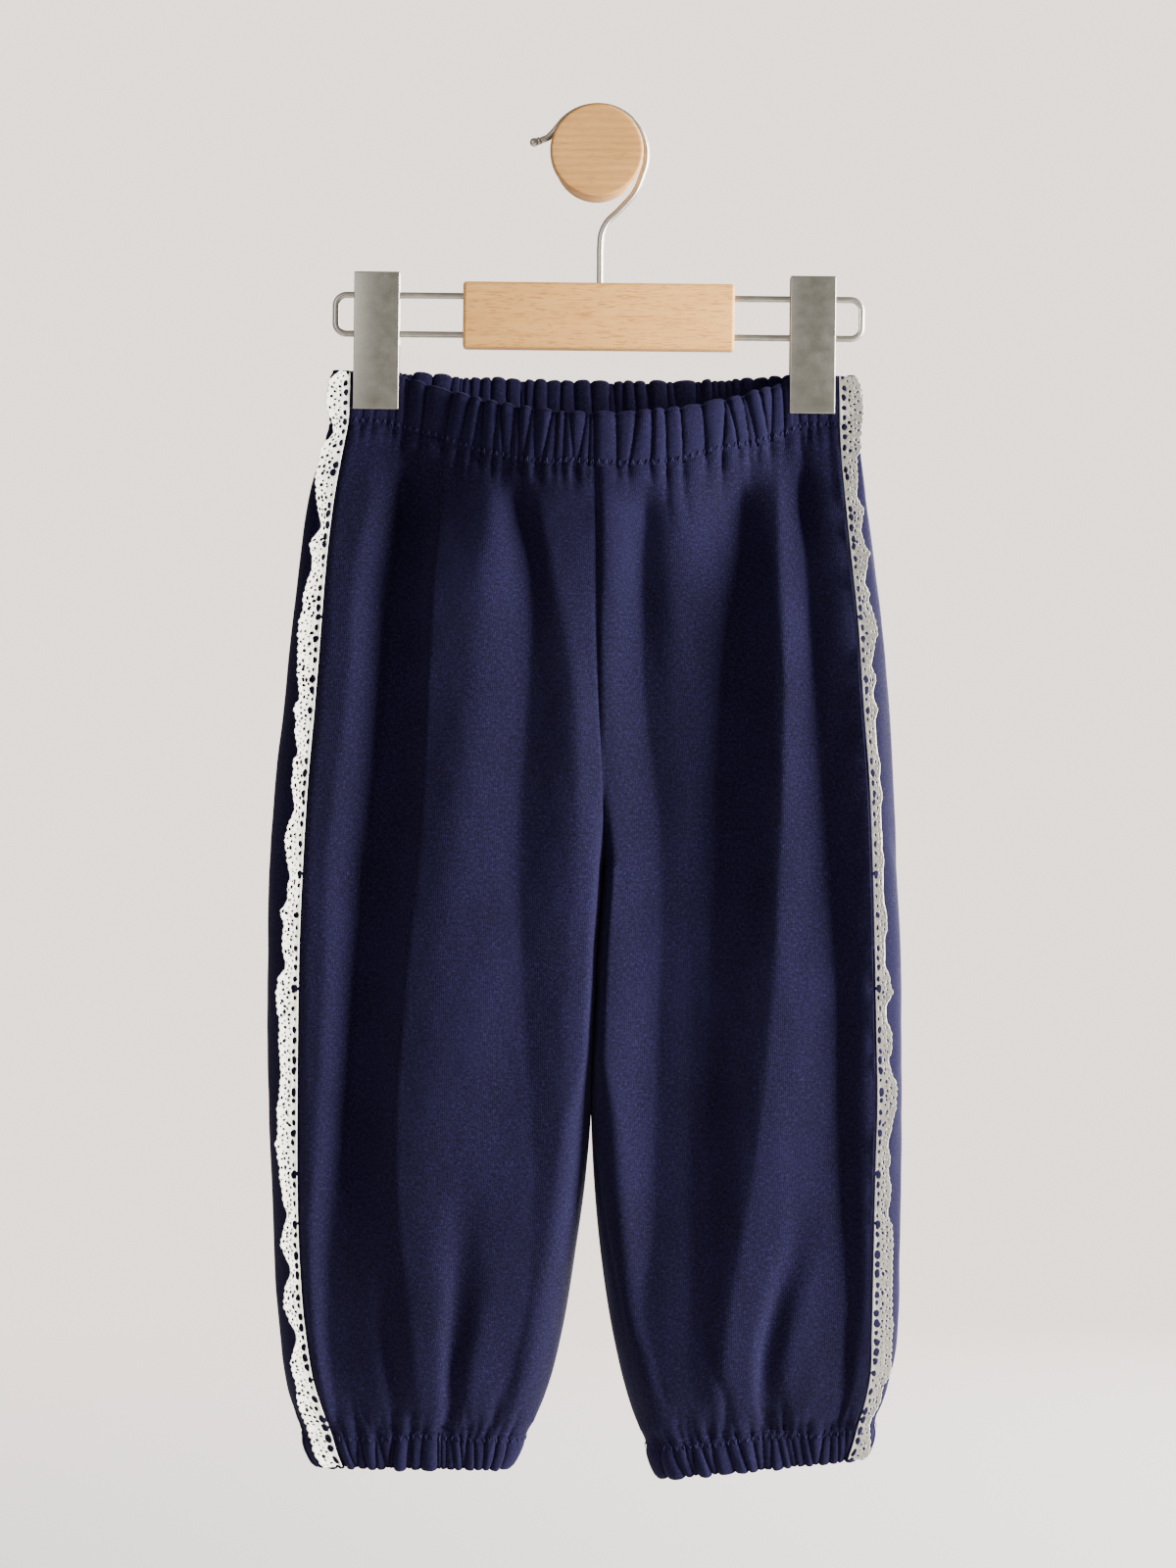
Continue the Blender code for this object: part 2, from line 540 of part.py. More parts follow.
def cuff_line(down, half):
    """The hem casing's line at a height, once round the leg from the side seam."""
    front, back = panel_line(down, half, "front"), panel_line(down, half, "back")
    return [np.append(a, b[1:]) for a, b in zip(front, back)]


def build_cuff(half):
    top, bottom = CUFF_BOTTOM[half], CUFF_TOP[half]
    rows = casing_rows(top, bottom, 0.85 * CASING)[:4] + casing_rows(top, bottom, 0.85 * CASING)[5:]
    lines = {down: cuff_line(down, half) for down, _, _ in rows}
    rings = []
    for share, phase in gather_places(CUFF_GATHERS, STEPS_PER_GATHER):
        ring = []
        for down, inset, gathered in rows:
            point, run, _ = along(lines[down], [share], trim=0)
            normal = outward(run, half)[0]
            back = inset + GATHER_DEPTH["cuff"] * gathered * pleat(phase)
            ring.append([*(point[0, :2] - normal * back), point[0, 2]])
        rings.append(world(ring))
    return loft(f"hem_cuff_{half}", rings, "navy_fleece", closed=True)


def build_lace(half):
    """The lace strip: its straight edge at the side seam, its free edge outwards over the back panel.

    It is made from the points of the waistband, back panel and hem casing that it lies on, moved out.
    """
    least, most = LACE_STAND[half]
    grid = panel_grid(half, "back")[0]
    panel_top, panel_bottom = BAND_TOP + BAND_HEIGHT + SEAM_GAP, CUFF_TOP[half] - SEAM_GAP
    rows = np.arange(0, PANEL_ROWS + 0.01, 1 / STEPS_PER_WAVE)
    whole = row_height(np.linspace(0, 1, PANEL_ROWS + 1))
    downs = panel_top + (panel_bottom - panel_top) * np.interp(rows, np.arange(PANEL_ROWS + 1), whole)
    above = np.linspace(BAND_TOP + 0.6, panel_top, 5)[:-1]
    below = np.linspace(panel_bottom, CUFF_BOTTOM[half] - 0.8, 4)[1:]
    places = [(down, None) for down in above] + list(zip(downs, rows)) + [(down, None) for down in below]
    rings = []
    for step, (down, row) in enumerate(places):
        if row is None:
            line = panel_line(down, half, "back")
        else:
            i = min(int(row), PANEL_ROWS - 1)
            line = (grid[i] * (i + 1 - row) + grid[i + 1] * (row - i)).T
        wave = 0.5 + 0.5 * math.sin(2 * math.pi * step / STEPS_PER_WAVE + 1.3 * math.sin(0.31 * step))
        columns = LACE_STEP * np.array([0.0, 1.0, 2.0, 2.6 + 0.4 * wave])
        points, run, _ = along(line, 1 - columns / along(line, [0.0], trim=0)[2], trim=0)
        lift = LACE_CLEAR + np.array([0.0, 0.2, 0.6, 1.0]) * (least + (most - least) * wave)
        target = points[:, :2] + outward(run, half) * lift[:, None]
        inside, headings = [target[0]], [math.atan2(-run[0, 1], -run[0, 0])]
        for k in range(1, 4):
            gap = target[k] - inside[-1]
            turn = math.remainder(math.atan2(gap[1], gap[0]) - headings[-1], 2 * math.pi)
            headings.append(headings[-1] + max(-LACE_TURN, min(LACE_TURN, turn)))
            reach = columns[k] - columns[k - 1]
            inside.append(inside[-1] + reach * np.array([math.cos(headings[-1]), math.sin(headings[-1])]))
        inside = np.array(inside)
        facing = np.array([[-math.sin(a), math.cos(a)] for a in headings]) * (-1 if half == "right" else 1)
        outside = inside + facing * LACE
        low = points[:, 2:]
        rings.append(world(np.concatenate([np.hstack([outside, low]), np.hstack([inside, low])[::-1]])))
    return loft(f"lace_trim_{half}", rings, "cotton_lace")


# ---------------------------------------------------------------- hanger and knob
def smooth_path(points, count):
    """Evenly spread points on a smooth curve through hand-placed ones."""
    points = np.asarray(points, float)
    reach = np.append(0, np.cumsum(np.linalg.norm(np.diff(points, axis=0), axis=1)))
    places = np.linspace(0, reach[-1], count)
    return np.stack([through(reach, points[:, i], places) for i in range(points.shape[1])], axis=1)


def wire_object(name, path, radius, resolution=2):
    """A round wire along a path of (x, z), in the plane of the hanger, as a mesh with welded caps."""
    curve = bpy.data.curves.new(name, "CURVE")
    curve.dimensions = "3D"
    curve.bevel_depth = radius * MM
    curve.bevel_resolution = resolution
    curve.use_fill_caps = True
    spline = curve.splines.new("POLY")
    spline.points.add(len(path) - 1)
    for point, (x, z) in zip(spline.points, path):
        point.co = (x * MM, 0, z * MM, 1)
    made = bpy.data.objects.new(name + "_curve", curve)
    bpy.context.scene.collection.objects.link(made)
    bpy.context.view_layer.update()
    mesh = bpy.data.meshes.new_from_object(made.evaluated_get(bpy.context.evaluated_depsgraph_get()))
    bpy.data.objects.remove(made)
    body = bmesh.new()
    body.from_mesh(mesh)
    bmesh.ops.remove_doubles(body, verts=body.verts, dist=0.00001)
    body.to_mesh(mesh)
    body.free()
    mesh.name = name
    mesh.materials.clear()
    mesh.shade_smooth()
    mesh.set_sharp_from_angle(angle=math.radians(50))
    return add_object(name, mesh, "satin_nickel")


def block(name, size, centre, finish="satin_nickel", collection="bloomer_trousers"):
    mesh = bmesh.new()
    bmesh.ops.create_cube(mesh, size=1.0)
    bmesh.ops.scale(mesh, vec=Vector(size) * MM, verts=mesh.verts)
    data = bpy.data.meshes.new(name)
    mesh.to_mesh(data)
    mesh.free()
    made = add_object(name, data, finish, collection)
    made.location = Vector(centre) * MM
    return made


def rod(name, radius, length, centre, along_x=True, segments=12):
    """A round cutter, lying along X or standing along Z."""
    mesh = bmesh.new()
    bmesh.ops.create_cone(
        mesh, cap_ends=True, segments=segments, radius1=radius * MM, radius2=radius * MM, depth=length * MM
    )
    data = bpy.data.meshes.new(name)
    mesh.to_mesh(data)
    mesh.free()
    made = add_object(name, data, "satin_nickel", "cutters")
    made.location = Vector(centre) * MM
    if along_x:
        made.rotation_euler = (0, math.radians(90), 0)
    return made


def cut(target, cutter, operation="DIFFERENCE"):
    cutter.parent = target.parent
    cutter.hide_render = True
    cutter.display_type = "WIRE"
    boolean = target.modifiers.new(cutter.name, "BOOLEAN")
    boolean.operation = operation
    boolean.object = cutter


def bevel(target, width, segments=2):
    edges = target.modifiers.new("rounded_edges", "BEVEL")
    edges.width = width * MM
    edges.segments = segments
    edges.limit_method = "ANGLE"


def build_bar(holder):
    bar = block("hanger_bar", BAR, (0, 0, 0), "beech")
    bar.parent = holder
    bevel(bar, BAR_EDGE)
    for sign in (-1, 1):
        for height in (LOOP_UP, LOOP_LOW):
            centre = (sign * (BAR[0] - SOCKET_DEPTH + 2) / 2, 0, height)
            cut(bar, rod("socket", WIRE + SOCKET_ROOM, SOCKET_DEPTH + 2, centre))
    centre = (HOOK_SHANK_X, 0, (BAR[2] - SOCKET_DEPTH + 2) / 2)
    cut(bar, rod("hook_socket", HOOK_WIRE + SOCKET_ROOM, SOCKET_DEPTH + 2, centre, along_x=False))


def build_loop(holder, sign):
    """One side loop: out along the top, round two corners and back along the bottom."""
    name = "hanger_wire_left" if sign < 0 else "hanger_wire_right"
    start = BAR[0] / 2 - SOCKET_DEPTH + SOCKET_ROOM + 0.2
    corner = LOOP_REACH - LOOP_CORNER
    path = [(start, LOOP_UP)]
    for centre_z, first in ((LOOP_UP - LOOP_CORNER, 90), (LOOP_LOW + LOOP_CORNER, 0)):
        for angle in np.radians(np.linspace(first, first - 90, 5)):
            path.append((corner + LOOP_CORNER * math.cos(angle), centre_z + LOOP_CORNER * math.sin(angle)))
    path.append((start, LOOP_LOW))
    made = wire_object(name, [(sign * x, z) for x, z in path], WIRE)
    made.parent = holder


HOOK_SHANK_X = 0.4
HOOK_CENTRE = (-1.23, 74.8)  # of the bend, from the bar's middle
HOOK_TIP = [(-30.6, 80.2), (-27.4, 81.2), (-24.2, 82.6), (-21.9, 84.9)]
HOOK_NECK = [(16.6, 58.7), (9.4, 49.8), (3.0, 43.1), (1.0, 38.6), (HOOK_SHANK_X, 32.5)]


def build_hook(holder):
    """The hook: a ball tip, a bend that lies over the knob's neck, an S curve and a straight shank."""
    bend = [
        (HOOK_CENTRE[0] + HOOK_RADIUS * math.cos(a), HOOK_CENTRE[1] + HOOK_RADIUS * math.sin(a))
        for a in np.radians(np.linspace(146, -22, 17))
    ]
    foot = [(HOOK_SHANK_X, 24.0), (HOOK_SHANK_X, BAR[2] / 2 - SOCKET_DEPTH + SOCKET_ROOM + 0.2)]
    hook = wire_object("hanger_hook", smooth_path(HOOK_TIP + bend + HOOK_NECK + foot, 38), HOOK_WIRE)
    hook.parent = holder
    mesh = bmesh.new()
    bmesh.ops.create_uvsphere(mesh, u_segments=10, v_segments=6, radius=HOOK_BALL * MM)
    data = bpy.data.meshes.new("ball")
    mesh.to_mesh(data)
    mesh.free()
    ball = add_object("hook_ball", data, "satin_nickel", "cutters")
    ball.location = (HOOK_TIP[0][0] * MM, 0, HOOK_TIP[0][1] * MM)
    cut(hook, ball, "UNION")


def build_clip_plate(holder, x, side, face):
    """One half of a clip: a plate with side flanges that have a notch for each wire of the loop."""
    wide, high = CLIP
    deep = CLIP_INNER + CLIP_SHEET - SEAM_GAP / 2
    middle = face * (SEAM_GAP / 2 + deep / 2)
    plate = block(f"clip_{side}_{'front' if face < 0 else 'back'}", (wide, deep, high), (x, middle, -CLIP_DROP))
    plate.parent = holder
    hollow = (wide - 2 * CLIP_SHEET, CLIP_INNER * 2, high - 2 * CLIP_SHEET)
    cut(plate, block("hollow", hollow, (x, 0, -CLIP_DROP), collection="cutters"))
    jaw_top = LOOP_LOW - CLIP_JAW_ROOM
    jaw_bottom = -CLIP_DROP - high / 2 - 2
    jaw = (wide + 4, CLIP_INNER * 2, jaw_top - jaw_bottom)
    cut(plate, block("jaw", jaw, (x, 0, (jaw_top + jaw_bottom) / 2), collection="cutters"))
    for height in (LOOP_UP, LOOP_LOW):
        cut(plate, rod("notch", WIRE + SOCKET_ROOM, wide + 4, (x, 0, height)))


def build_knob():
    """The wall knob: a turned neck that stands off the wall, with a slightly wider disc in front."""
    disc_back = KNOB_LENGTH - KNOB_DISC_THICK
    profile = [
        (0, KNOB_LENGTH), (KNOB_DISC - 1.2, KNOB_LENGTH), (KNOB_DISC - 0.3, KNOB_LENGTH - 0.4),
        (KNOB_DISC, KNOB_LENGTH - 1.4), (KNOB_DISC, disc_back + 0.8), (KNOB_DISC - 0.6, disc_back),
        (KNOB_NECK, disc_back), (KNOB_NECK, 0), (0, 0),
    ]
    data = bpy.data.meshes.new("wall_knob")
    points = [(radius * MM, 0, height * MM) for radius, height in profile]
    data.from_pydata(points, [(i, i + 1) for i in range(len(points) - 1)], [])
    knob = add_object("wall_knob", data, "beech")
    turned = knob.modifiers.new("turned", "SCREW")
    turned.steps = turned.render_steps = 28
    turned.use_merge_vertices = True
    turned.merge_threshold = 0.00005
    knob.rotation_euler = (math.radians(90), 0, 0)


def build_hanger():
    holder = bpy.data.objects.new("hanger", None)
    bpy.context.scene.collection.objects.link(holder)
    holder.location = (HANGER_X * MM, HANG_Y * MM, (HANG_RISE - HANGER_DOWN) * MM)
    holder.rotation_euler = (0, HANGER_TILT, 0)
    build_bar(holder)
    build_hook(holder)
    for sign, side in ((-1, "left"), (1, "right")):
        build_loop(holder, sign)
        for face in (-1, 1):
            build_clip_plate(holder, CLIP_X[side], side, face)


def main():
    for old in list(bpy.data.objects):
        bpy.data.objects.remove(old)
    for half in ("left", "right"):
        for side in ("front", "back"):
            build_panel(half, side)
        build_cuff(half)
        build_lace(half)
    for side in ("front", "back"):
        build_waistband(side)
    build_hanger()
    build_knob()


main()
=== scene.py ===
"""Visual model of a child's bloomer trousers hanging from a clip hanger on a round wall knob.

The fleece panels, gathered casings, lace and stitches are finer shells on the same tables and curves as the
part's solids. Left and right are as seen from the front. Sizes are in millimetres and are scaled to metres
once, when a mesh is made. The wall is the plane Y = 0, the front faces -Y, and the origin is on the knob's
axis.
"""

import math
import random
from collections import namedtuple

import bmesh
import bpy
import numpy as np
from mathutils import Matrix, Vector


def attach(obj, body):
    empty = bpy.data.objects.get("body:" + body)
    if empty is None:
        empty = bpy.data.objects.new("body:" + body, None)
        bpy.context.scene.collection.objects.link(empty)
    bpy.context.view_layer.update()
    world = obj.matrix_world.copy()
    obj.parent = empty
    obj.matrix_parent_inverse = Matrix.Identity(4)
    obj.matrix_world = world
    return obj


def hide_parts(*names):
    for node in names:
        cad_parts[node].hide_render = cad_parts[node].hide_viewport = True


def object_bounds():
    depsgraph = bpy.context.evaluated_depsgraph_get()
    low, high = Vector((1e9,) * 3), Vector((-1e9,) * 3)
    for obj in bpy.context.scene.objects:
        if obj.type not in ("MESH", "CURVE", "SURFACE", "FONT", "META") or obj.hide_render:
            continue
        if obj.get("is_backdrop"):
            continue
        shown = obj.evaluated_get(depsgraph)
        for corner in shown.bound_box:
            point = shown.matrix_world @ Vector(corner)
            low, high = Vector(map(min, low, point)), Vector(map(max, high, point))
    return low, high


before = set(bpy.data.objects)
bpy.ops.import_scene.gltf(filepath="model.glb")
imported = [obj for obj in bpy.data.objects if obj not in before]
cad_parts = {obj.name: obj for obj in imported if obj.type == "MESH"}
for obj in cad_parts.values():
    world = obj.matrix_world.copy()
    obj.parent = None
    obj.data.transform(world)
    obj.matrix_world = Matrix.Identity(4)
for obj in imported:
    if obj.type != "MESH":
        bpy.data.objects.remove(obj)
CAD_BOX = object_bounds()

MM = 0.001
HALVES, SIDES = ("left", "right"), ("front", "back")

# ---------------------------------------------------------------- driving sizes
HANG_Y = -30.0  # plane of the hanger, in front of the wall
HANG_RISE = 2.2  # height of the garment tables' zero above the knob's axis
SEAM_GAP = 0.3  # between neighbouring pieces
CLOTH = 1.8  # sweatshirt fleece
CASING = 4.0  # the waistband, folded fleece with elastic inside
CUFF_CASING = 0.85 * CASING

BAND_TOP = 104.5  # waistband rim at the side seams, below the tables' zero
BAND_HEIGHT = 24.6
BAND_TILT = 0.0105  # the hanger leans, so the right end is lower
CLIPPED_DEPTH = 4.3  # half the thickness of the waistband where the clips press it
BAND_HALF_SPAN = 89.0  # from the middle to where the clips flatten the band
FRONT_BOW, BACK_BOW = 20.0, 7.0  # how far the band stands forward and back in the middle
FRONT_SAG, BACK_SAG = 19.8, 3.2  # how far its rim hangs down in the middle
SAG_HALF_SPAN = 96.0
BAND_FADE = 95.0  # length below the band over which its shape goes over into the body's
FOLD_START = 24.0  # length below the band over which the folds grow to their full depth

CUFF_TOP = {"left": 591.0, "right": 591.2}
CUFF_BOTTOM = {"left": 607.2, "right": 607.6}
CUFF_TILT = {"left": 1.0, "right": 9.0}  # inner end lower than the outer end

TILT_START = 480.0  # height from which a leg's rows tilt towards its hem
LEGS_TOUCH = 415.0  # height down to which the legs are pressed together in full
LEGS_PART = 40.0  # length below it over which the pressing ends
LEGS_PRESS = 0.6  # share of the inner round that they lose where they are pressed in full

PANEL_GRID = {"front": (112, 190), "back": (132, 186)}  # quads across and rows down
PANEL_TRIM = -0.02  # less than 0, so the panels' ends aren't trimmed and no light shows between them
RIM_SHARE = 0.03  # of a casing's height, in the round of its folded rim
BAND_PROFILE, CUFF_PROFILE = (16, 7, 9), (14, 6, 8)  # rows outside, over the rim and inside
BAND_COLUMNS, CUFF_COLUMNS = 620, 640
STITCH_ENDS = (1.1, 3.7)  # from a casing's seam to the two ends of its zigzag stitches
SOFT_EDGE, TURNED_EDGE, CUT_EDGE = 62, 50, 40  # degrees from which an edge is sharp: cloth, knob, metal

# ---------------------------------------------------------------- outline and depth tables
# Down is measured below the tables' zero. Out is the silhouette, in is the centre seam above the crotch
# and the inner leg below it, and seam is the side seam, which lies on the front a little way in.
Outline = namedtuple("Outline", "down left_out left_seam left_in right_in right_seam right_out")
OUTLINE = [
    Outline(104.0, -123.0, -113.0, -0.5, -0.5, 111.2, 121.2),
    Outline(115.7, -124.2, -113.3, -0.5, -0.5, 111.4, 122.6),
    Outline(128.3, -123.4, -114.2, -0.6, -0.6, 111.6, 122.0),
    Outline(140.4, -126.6, -116.5, -0.4, -0.4, 112.2, 122.0),
    Outline(158.4, -131.8, -119.7, 0.0, 0.0, 113.6, 123.5),
    Outline(185.4, -136.1, -122.8, 0.0, 0.0, 115.8, 127.2),
    Outline(221.4, -140.4, -125.4, 0.0, 0.0, 119.0, 131.5),
    Outline(257.4, -144.2, -128.2, 0.9, 0.9, 121.3, 134.6),
    Outline(293.4, -148.3, -131.4, 2.5, 2.5, 124.0, 136.9),
    Outline(329.4, -151.2, -133.6, 3.1, 3.0, 125.4, 138.7),
    Outline(365.4, -151.9, -135.2, 0.9, 0.6, 126.3, 140.0),
    Outline(401.4, -152.0, -135.9, -0.9, -1.2, 127.0, 140.0),
    Outline(437.4, -151.3, -136.2, -2.4, -2.7, 127.6, 140.3),
    Outline(473.4, -149.9, -136.2, -5.0, -1.5, 126.6, 140.1),
    Outline(509.4, -148.7, -135.3, -9.9, 1.8, 125.8, 139.6),
    Outline(545.4, -145.9, -132.4, -16.0, 7.7, 125.1, 138.7),
    Outline(567.9, -143.6, -128.6, -21.6, 13.2, 124.4, 135.9),
    Outline(581.4, -140.4, -124.6, -26.6, 17.6, 122.0, 131.9),
    Outline(591.3, -136.2, -121.3, -31.3, 21.9, 119.2, 128.4),
    Outline(599.4, -134.4, -119.0, -34.6, 24.2, 117.0, 127.2),
    Outline(608.4, -130.2, -115.4, -39.0, 28.0, 114.0, 124.4),
]

# Depths in front of and behind the hanger's plane, the share of them left at the centre seam, and how far
# in from the silhouette and from the inner edge the cloth curves round.
Depth = namedtuple("Depth", "down front back centre side_round inner_round")
DEPTH = [
    Depth(120.0, 17.0, 9.0, 1.00, 16.0, 12.0),
    Depth(160.0, 20.0, 11.0, 1.00, 17.0, 12.0),
    Depth(200.0, 22.5, 13.5, 1.00, 18.0, 12.0),
    Depth(240.0, 24.0, 16.0, 1.00, 19.0, 12.0),
    Depth(280.0, 24.5, 18.0, 0.96, 20.0, 12.0),
    Depth(300.0, 24.5, 18.5, 0.88, 20.0, 12.0),
    Depth(316.0, 24.5, 18.5, 0.68, 20.0, 12.0),
    Depth(326.0, 24.5, 18.5, 0.30, 20.0, 13.0),
    Depth(332.0, 24.5, 18.5, 0.00, 20.0, 13.0),
    Depth(380.0, 24.0, 18.5, 0.00, 20.0, 13.0),
    Depth(440.0, 23.5, 18.5, 0.00, 20.0, 14.0),
    Depth(510.0, 24.0, 19.0, 0.00, 21.0, 16.0),
    Depth(550.0, 24.0, 19.0, 0.00, 23.0, 19.0),
    Depth(572.0, 22.0, 17.0, 0.00, 23.0, 20.0),
    Depth(583.0, 18.5, 14.5, 0.00, 21.0, 19.0),
    Depth(592.0, 15.5, 12.0, 0.00, 19.0, 18.0),
    Depth(610.0, 14.5, 11.0, 0.00, 18.0, 17.0),
]
BACK_ROUND = 1.7  # the back curves round this many times as gently as the front

# The largest folds. Each line runs down the cloth along the top of a ridge or the bottom of a valley:
# across says where it is at each of these heights, out how far the cloth stands forward of the smooth
# body there, and sharp whether the line is a soft wave, 0, or a crease, 1.
FOLD_DOWN = (145.0, 158.0, 194.0, 248.0, 320.0, 392.0, 464.0, 500.0, 532.0, 559.0, 581.0)
FoldLine = namedtuple("FoldLine", "name sharp across out")
FRONT_FOLDS = {
    "left": [
        FoldLine("side ridge", 0.2, (-106, -105, -111, -114, -123, -125, -129, -131, -130, -127, -124),
                 (-0.5, 0.0, 0.5, 1.0, 1.0, 1.0, 1.0, 0.5, 0.0, 0.0, 0.0)),
        FoldLine("valley under clip", 0.3,
                 (-86.5, -87.5, -91.5, -95.5, -102.5, -109, -115, -121.5, -123.5, -122, -118.5),
                 (-3.0, -6.5, -8.0, -8.0, -8.0, -8.0, -7.0, -5.5, -4.5, -4.0, -2.0)),
        FoldLine("thigh edge", 0.9, (-71.5, -71.5, -74.5, -77, -81, -88, -92, -89.5, -86, -83, -80.5),
                 (-0.5, 0.0, 2.0, 3.0, 3.0, 3.2, 4.0, 3.5, 3.2, 2.5, 1.2)),
        FoldLine("thigh", 0.0, (-50.5, -50.5, -54.5, -59, -64.5, -70.5, -76, -76, -76, -75, -74),
                 (0.3, 1.0, 3.5, 4.5, 4.5, 4.5, 4.5, 4.0, 3.5, 2.5, 1.2)),
        FoldLine("diagonal valley", 0.7, (-38.5, -37, -30.5, -31, -35.5, -33.5, -29, -29.5, -32, -38, -43),
                 (-2.5, -4.5, -3.5, -1.0, 0.0, 1.0, 1.5, 1.5, 0.8, -0.8, -1.0)),
        FoldLine("inner ridge", 0.1, (-22, -25, -19.5, -11.5, -10, -15.5, -16.5, -20, -24, -29, -35.5),
                 (-0.5, -1.0, 0.0, 2.5, 3.0, 2.5, 2.3, 2.0, 1.5, 1.0, 0.5)),
    ],
    "right": [
        FoldLine("inner ridge", 0.2, (3, 3, 3.5, 2.5, 4, 4.5, 5, 9, 12, 19.5, 26.5),
                 (-0.5, -0.7, -0.8, -1.5, -2.5, -0.5, 0.5, 0.3, 0.3, 0.2, 0.0)),
        FoldLine("valley by centre", 0.6, (20.5, 22, 21, 21.5, 29, 28.5, 26, 25.5, 21, 27.5, 33),
                 (-2.5, -4.5, -6.5, -8.5, -9.5, -7.5, -6.5, -5.0, -3.0, -2.0, -0.8)),
        FoldLine("low thigh", 0.0, (36.5, 36.5, 35.5, 35.5, 39.5, 39.5, 41, 41, 41, 41, 42),
                 (-1.5, -1.5, -3.5, -7.0, -9.0, -7.0, -5.5, -3.8, -1.8, -1.2, -0.4)),
        FoldLine("valley under clip", 0.6, (66.5, 66.5, 66, 60, 55.5, 51, 51, 51, 49, 48, 49),
                 (-3.5, -6.5, -8.0, -10.5, -10.0, -6.0, -3.8, -1.8, -0.5, 0.0, 0.0)),
        FoldLine("thigh edge", 0.3, (83.5, 83.5, 83.5, 85.5, 84, 80, 72.5, 66.5, 61, 58, 57),
                 (-0.5, 0.0, 0.5, 1.0, 1.2, 2.0, 2.5, 2.3, 2.6, 2.5, 1.0)),
        FoldLine("valley by side", 0.9, (94, 93.5, 96, 99, 104.5, 110.5, 111.5, 114, 115.5, 113, 110),
                 (-2.5, -5.0, -4.5, -5.5, -5.5, -5.5, -5.0, -4.0, -4.0, -3.5, -1.5)),
        FoldLine("side ridge", 0.2, (106.5, 106.5, 110.5, 119.5, 123.5, 124.5, 124.5, 124, 124, 123, 120),
                 (-0.5, -0.5, -0.5, 0.0, 0.0, 0.0, 0.0, 0.0, -0.5, -0.5, 0.0)),
    ],
}
BACK_FOLDS = {
    "left": [
        FoldLine("side ridge", 0.1, (-104, -105, -109, -114, -119, -121, -121, -120, -118, -114, -111),
                 (-0.5, -0.3, 0.5, 1.0, 1.0, 0.8, 0.5, 0.5, 0.8, 0.8, 0.3)),
        FoldLine("outer valley", 0.5, (-88, -88, -91, -95, -99, -102, -104, -104, -102, -99, -97),
                 (-2.0, -4.0, -5.5, -5.5, -5.0, -4.5, -4.0, -4.5, -5.0, -4.0, -1.8)),
        FoldLine("seat", 0.2, (-68, -68, -71, -74, -78, -81, -83, -84, -84, -83, -82),
                 (0.0, 0.5, 1.5, 2.2, 2.0, 2.0, 2.2, 2.0, 1.5, 1.0, 0.5)),
        FoldLine("inner valley", 0.4, (-42, -42, -44, -48, -52, -55, -57, -60, -62, -64, -66),
                 (-2.0, -3.5, -3.0, -2.0, -2.5, -2.5, -2.5, -3.5, -4.5, -4.0, -1.8)),
        FoldLine("inner ridge", 0.1, (-18, -17, -15, -14, -15, -18, -22, -26, -32, -38, -44),
                 (-0.5, -0.3, 0.5, 1.2, 1.5, 1.0, 0.8, 0.8, 0.5, 0.5, 0.2)),
    ],
    "right": [
        FoldLine("inner ridge", 0.1, (15, 15, 14, 13, 14, 16, 19, 23, 28, 34, 39),
                 (-0.5, -0.3, 0.5, 1.0, 1.2, 1.2, 1.0, 0.6, 0.5, 0.3, 0.2)),
        FoldLine("inner valley", 0.5, (38, 38, 40, 43, 46, 48, 50, 52, 54, 56, 58),
                 (-2.0, -4.0, -4.0, -3.5, -3.0, -2.5, -3.0, -4.0, -5.0, -4.0, -1.8)),
        FoldLine("seat", 0.2, (61, 61, 64, 67, 70, 72, 73, 74, 74, 73, 72),
                 (0.0, 0.5, 1.8, 2.5, 2.2, 2.0, 2.0, 1.8, 1.2, 0.8, 0.4)),
        FoldLine("outer valley", 0.4, (85, 85, 88, 91, 94, 96, 96, 95, 93, 91, 89),
                 (-2.0, -4.0, -5.0, -5.0, -4.5, -4.0, -3.5, -4.0, -4.5, -4.0, -1.8)),
        FoldLine("side ridge", 0.1, (102, 102, 104, 107, 110, 112, 112, 111, 109, 106, 103),
                 (-0.5, -0.3, 0.5, 1.0, 1.0, 0.8, 0.5, 0.5, 0.8, 0.6, 0.3)),
    ],
}
CENTRE_OUT = -1.5  # of the cloth at the centre seam, above the crotch
FOLD_SHARE = 1.27

# Shorter creases that start and end within the panel, by the same measures, and their reach to each side.
Crease = namedtuple("Crease", "down across deep left right")
FRONT_CREASES = {
    "left": [
        [Crease(470, -59, 0.0, 7, 9), Crease(500, -62, 2.2, 7, 10), Crease(532, -63.5, 4.5, 5, 8),
         Crease(559, -66, 5.0, 4, 6), Crease(584, -68, 1.5, 3, 4)],
        [Crease(510, -95, 0.0, 6, 6), Crease(532, -97, 1.5, 5, 7), Crease(559, -95, 3.0, 4, 6),
         Crease(584, -92, 1.0, 3, 5)],
    ],
    "right": [
        [Crease(480, 93, 0.0, 6, 8), Crease(505, 90, 1.5, 6, 8), Crease(532, 82, 4.0, 5, 7),
         Crease(559, 77, 5.0, 4, 6), Crease(584, 78, 1.8, 3, 5)],
    ],
}

